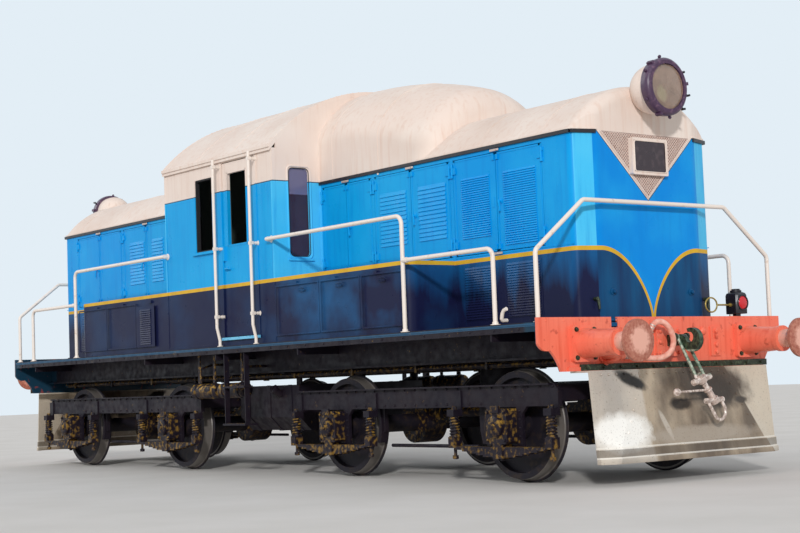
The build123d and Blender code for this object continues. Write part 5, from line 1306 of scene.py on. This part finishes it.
class LOCO_OT_underframe_fittings(bpy.types.Operator):
    """Pipes, brackets, tank bands and the plates on the footplate"""

    bl_idname = "loco.underframe_fittings"
    bl_label = "Underframe fittings"

    def execute(self, context):
        form = Form()
        # train pipes along the underframe, and drops to the reservoirs
        for y, z, r in ((-0.78, 0.995, 0.024), (-0.70, 1.03, 0.016), (0.78, 0.995, 0.024)):
            form.tube([(-4.80, y, z), (4.80, y, z)], r, 10)
            for k in range(10):
                x = -4.5 + k
                form.box((x - 0.015, y - 0.034, z - 0.034), (x + 0.015, y + 0.034, z + 0.034))
        part = Form()
        for path, radius in (
            (((0.20, -1.25, 0.941), (0.20, -1.25, 1.06), (0.20, -1.18, 1.10), (0.20, -0.96, 1.10)), 0.014),
            (((-0.62, -1.25, 0.941), (-0.62, -1.25, 1.10), (-0.62, -1.10, 1.14), (-0.62, -0.96, 1.14)),
             0.014),
            (((-0.27, -1.25, 0.863), (-0.17, -1.25, 0.863)), 0.016),
        ):
            part.tube(path, radius, 8)
        form.join(part.spread(ENDS))
        piece("underframe_pipes", form, "gear", smooth=50)

        tank = Form()
        right = [(-0.806, 0.90), (-0.806, 0.566), (-0.664, 0.424)]
        right_inner = [(-0.799, 0.90), (-0.799, 0.570), (-0.660, 0.4305)]
        outline, inner = (half + [(-y, z) for y, z in half[::-1]] for half in (right, right_inner))
        for x in (-0.40, 0.0, 0.40):
            tank.slab(outline + inner[::-1], x - 0.03, 0.06)
        for side in (1, -1):
            at = Vector((0.22, side * 0.80, 0.80))
            neck = at + Vector((0, side * 0.07, 0.05))
            tank.tube([at, neck], 0.040, 14)
            tank.lathe([(0, 0.050), (0.024, 0.050), (0.028, 0.040)], neck, (0, side, 0.7), 16)
        piece("tank_bands", tank, "frame", smooth=40)

        # raised edge along the footplate, with its bolts and brackets, as seen from the side
        deck = Form()
        for side in (1, -1):
            out = (0, side, 0)
            deck.box((-4.84, side * 1.4485, 1.290), (4.84, side * 1.4535, DECK))
            deck.row(deck.rivet, (-4.65, side * 1.448, 1.262), (0.30, 0, 0), 32, out, 0.022)
            for x in (-4.3, -1.5, 0.0, 1.5, 4.3):
                bracket = [(0, 0), (-0.16, 0), (0, -0.05)]
                deck.prism(bracket, (x - 0.006, side * 1.436, 1.236), out, UP, (0.012, 0, 0))
        piece("footplate_edges", deck, "frame", smooth=40)

        treads = Form()
        for z in (0.905, 0.530):
            for k in range(13):
                for y, shift in ((-1.429, 0), (-1.399, 0.015), (-1.369, 0)):
                    x = 0.150 + k * 0.031 + shift
                    treads.box((x - 0.009, y - 0.002, z - 0.0005), (x + 0.009, y + 0.002, z + 0.0025))
        piece("step_treads", treads, "gear", ENDS)
        return {"FINISHED"}


class LOCO_OT_rail_fittings(bpy.types.Operator):
    """Feet, brackets and elbows of the handrails"""

    bl_idname = "loco.rail_fittings"
    bl_label = "Handrail fittings"

    def execute(self, context):
        form = Form()
        for x, y in ((3.168, 1.430), (4.355, 1.430), (4.824, 1.395)):
            form.lathe([(0, 0.040), (0.006, 0.040), (0.008, 0.026), (0.026, 0.024)], (x, y, DECK), UP, 18)
        form.lathe([(0, 0.034), (0.006, 0.034), (0.008, 0.025), (0.05, 0.024)], (1.028, CAB_SIDE, 2.324),
                   LEFT, 16)
        form.lathe([(-0.03, 0.0245), (0.03, 0.0245)], (3.20, 1.430, 1.933), AHEAD, 14)
        piece("rail_feet", form, "rail", CORNERS, smooth=50)
        poles = Form()
        for x in (0.092, 0.774):
            for z in (1.613, 2.308, 3.150):
                poles.lathe([(0, 0.026), (0.005, 0.026), (0.007, 0.017), (0.03, 0.016)],
                            (x, -CAB_SIDE, z), RIGHT, 14)
                poles.box((x - 0.020, -1.4775, z - 0.016), (x + 0.020, -1.438, z + 0.016))
            poles.lathe([(0, 0.030), (0.006, 0.030), (0.010, 0.020)], (x, -1.431, DECK), UP, 14)
        piece("pole_brackets", poles, "rail", ENDS, smooth=50)
        return {"FINISHED"}


class LOCO_OT_coupling_fittings(bpy.types.Operator):
    """Screw threads and collars of the couplings"""

    bl_idname = "loco.coupling_fittings"
    bl_label = "Coupling fittings"

    def execute(self, context):
        form = Form()
        nut, cross = Vector((5.225, 0.010, 0.812)), Vector((5.227, 0.147, 0.639))
        screw = cross - nut
        for k in range(15):
            at = nut + screw * (0.60 + k * 0.026)
            form.lathe([(-0.004, 0.0232), (0.0, 0.0275), (0.004, 0.0232)], at, screw, 18)
        for place, radius, half in ((0.0, 0.044, 0.025), (0.50, 0.036, 0.009), (1.0, 0.042, 0.023)):
            form.lathe([(-half, radius * 0.9), (-half + 0.004, radius), (half - 0.004, radius),
                        (half, radius * 0.9)], nut + screw * place, screw, 20)
        piece("coupling_threads", form, "bright", ENDS, smooth=40)
        ends = Form()
        for side in (-1, 1):
            ends.lathe([(-0.010, 0.030), (0.008, 0.030), (0.012, 0.020)], (5.030, side * 0.072, 1.172),
                       (0, side, 0), 18)
            ends.tube([(5.030, side * 0.066, z) for z in (1.196, 1.148)], 0.004, 6)
        piece("coupling_pins", ends, "forged", ENDS, smooth=40)
        return {"FINISHED"}


class LOCO_OT_tail_lamp(bpy.types.Operator):
    """Builds the lamp with its chimney, handle, lens and ring"""

    bl_idname = "loco.tail_lamp"
    bl_label = "Tail lamp"

    def execute(self, context):
        low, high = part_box("tail_lamp")
        x, y, half = (low.x + high.x) / 2 - 0.007, (low.y + high.y) / 2, 0.072
        z0, z1 = low.z + 0.020, high.z - 0.029
        # a square case with cut corners, drawn in towards its top
        ring = ((1, 0.75), (0.75, 1), (-0.75, 1), (-1, 0.75), (-1, -0.75), (-0.75, -1), (0.75, -1),
                (1, -0.75))
        rows = [(z0, 0.98), (z0 + 0.004, 1.0), (z1 - 0.03, 1.0), (z1 - 0.012, 0.9), (z1, 0.62)]
        case = Form().add([(x + half * cx * s, y + half * cy * s, z) for z, s in rows for cx, cy in ring],
                          bands(len(rows), len(ring)))
        case.lathe([(0, 0.050), (0.016, 0.050), (0.018, 0.036), (0.024, 0.036), (0.025, 0.046),
                    (0.0285, 0.030)], (x, y, z1), UP, 20)
        case.box((x - 0.020, y - 0.030, low.z), (x + 0.020, y + 0.030, z0 + 0.004))
        case.lathe([(0, 0.068), (0.010, 0.068), (0.010, 0.060), (0.006, 0.059), (0.0, 0.055)],
                   (x + half - 0.001, y, z0 + 0.095), AHEAD, 24, looped=True)
        handle_y, handle_z = 0.600, 1.444
        loop = [(x, handle_y + 0.074 * cos(a), handle_z + 0.062 * sin(a)) for a in circle(24)]
        handle = Form().tube(loop, 0.007, 10, closed=True)
        handle.tube([(x, handle_y + 0.072, handle_z), (x, y - half + 0.004, handle_z)], 0.008, 10)
        handle.lathe([(-0.012, 0.016), (0.010, 0.016)], (x, y - half - 0.002, handle_z), LEFT, 12)
        piece("tail_lamp_handle", handle, "brass", smooth=60)
        lamp = piece("tail_lamp_case", case, "black", bevel=0.002, smooth=40)
        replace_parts(lamp, "tail_lamp")
        eye = Form().lathe([(0, 0.056), (0.006, 0.053), (0.011, 0.038), (0.0125, 0.010)],
                           (x + half, y, z0 + 0.095), AHEAD, 24)
        piece("tail_lamp_lens", eye, "red_glass", smooth=60)
        return {"FINISHED"}


def pad(half, crown):
    """A stuffed pad lying level: edges rounded, top crowned, dimpled where it is stitched down."""
    rows, sides, points = 18, 48, []
    for row in range(rows + 1):
        level = radians(-89 + 178 * row / rows)
        for turn in circle(sides):
            x, y, z = (abs(way) ** power * (1 if way > 0 else -1)
                       for way, power in ((cos(turn), 0.35), (sin(turn), 0.35), (sin(level), 0.7)))
            x, y = x * cos(level) ** 0.35, y * cos(level) ** 0.35
            swell = crown * (1 - x * x) * (1 - y * y) + 0.003 * cos(3 * pi * x) * cos(3 * pi * y)
            points.append((x * half[0], y * half[1], z * half[2] + (swell if z > 0 else 0)))
    return Form().add(points, bands(rows + 1, sides))


class LOCO_OT_cab_inside(bpy.types.Operator):
    """Control desk and seats seen through the windows"""

    bl_idname = "loco.cab_inside"
    bl_label = "Cab inside"

    def execute(self, context):
        desk = Form().prism([(-0.220, DECK), (0.220, DECK), (0.220, 2.261), (0.132, 2.411), (-0.132, 2.411),
                             (-0.220, 2.261)], (0, -0.380, 0), AHEAD, UP, (0, 0.760, 0))
        seat_x, seat_y = -0.330, -0.880
        stand = Form().lathe([(0, 0.120), (0.012, 0.120), (0.030, 0.045), (0.420, 0.040), (0.445, 0.130)],
                             (seat_x, seat_y, DECK), UP, 24)
        stand.box((-0.520, -1.070, 1.752), (-0.140, -0.690, 1.764))
        stand.box((-0.556, -0.920, 1.752), (-0.541, -0.840, 2.200))
        desk.join(stand.spread(ENDS))
        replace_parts(piece("cab_desk", desk, "lining", bevel=0.006), "cab_fittings")
        upright = Matrix.Translation((-0.510, seat_y, 2.021)) @ Matrix.Rotation(pi / 2, 4, "Y")
        level = Matrix.Translation((seat_x, seat_y, 1.807))
        for end, turn in (("front", WHOLE), ("rear", TURN)):
            for part, matrix, half in (("seat", level, (0.210, 0.210, 0.044)),
                                       ("back", upright, (0.220, 0.205, 0.028))):
                cushion = piece(f"{part}_cushion_{end}", pad(half, 0.018), "leathercloth",
                                (turn @ matrix,), smooth=70)
        form = Form()
        for k in range(4):
            at = (0.16, -0.27 + k * 0.18, 2.33)
            form.lathe([(0, 0.055), (0.020, 0.055), (0.024, 0.048)], at, (0.9, 0, 0.5), 20)
        for y in (-0.18, 0.18):
            form.tube([(0.0, y, 2.41), (0.04, y, 2.52), (0.10, y, 2.55)], 0.010, 8)
        piece("control_fittings", form, "black", ENDS, smooth=50)
        return {"FINISHED"}


OPERATORS = (
    LOCO_OT_stage, LOCO_OT_finishes, LOCO_OT_brake_hoses, LOCO_OT_grille, LOCO_OT_headlights,
    LOCO_OT_number_panels, LOCO_OT_hood_trim, LOCO_OT_door_trim, LOCO_OT_cab_trim, LOCO_OT_roof_trim,
    LOCO_OT_headstock_fittings, LOCO_OT_plough_fittings, LOCO_OT_running_gear, LOCO_OT_underframe_fittings,
    LOCO_OT_rail_fittings, LOCO_OT_coupling_fittings, LOCO_OT_tail_lamp, LOCO_OT_cab_inside,
)
STEPS = [made.bl_idname.split(".")[1] for made in OPERATORS]


class LOCO_PT_dressing(bpy.types.Panel):
    """Lists the colours, sizes and steps of the locomotive"""

    bl_idname = "LOCO_PT_dressing"
    bl_label = "Locomotive"
    bl_space_type = "VIEW_3D"
    bl_region_type = "UI"
    bl_category = "Locomotive"

    def draw(self, context):
        for group in GROUPS:
            settings = getattr(context.scene, group)
            box = self.layout.box()
            for key in settings.bl_rna.properties.keys():
                if key not in ("rna_type", "name"):
                    box.prop(settings, key)
        for step in STEPS:
            self.layout.operator("loco." + step)


GROUPS = {"loco_paints": LocoPaints, "loco_livery": LocoLivery, "loco_trim": LocoTrim}
CLASSES = (*GROUPS.values(), *OPERATORS, LOCO_PT_dressing)


def register():
    for made in CLASSES:
        bpy.utils.register_class(made)
    for key, group in GROUPS.items():
        setattr(bpy.types.Scene, key, PointerProperty(type=group))


def unregister():
    for key in GROUPS:
        delattr(bpy.types.Scene, key)
    for made in reversed(CLASSES):
        bpy.utils.unregister_class(made)


def main():
    register()
    for step in STEPS:
        getattr(bpy.ops.loco, step)()


if __name__ == "__main__":
    main()
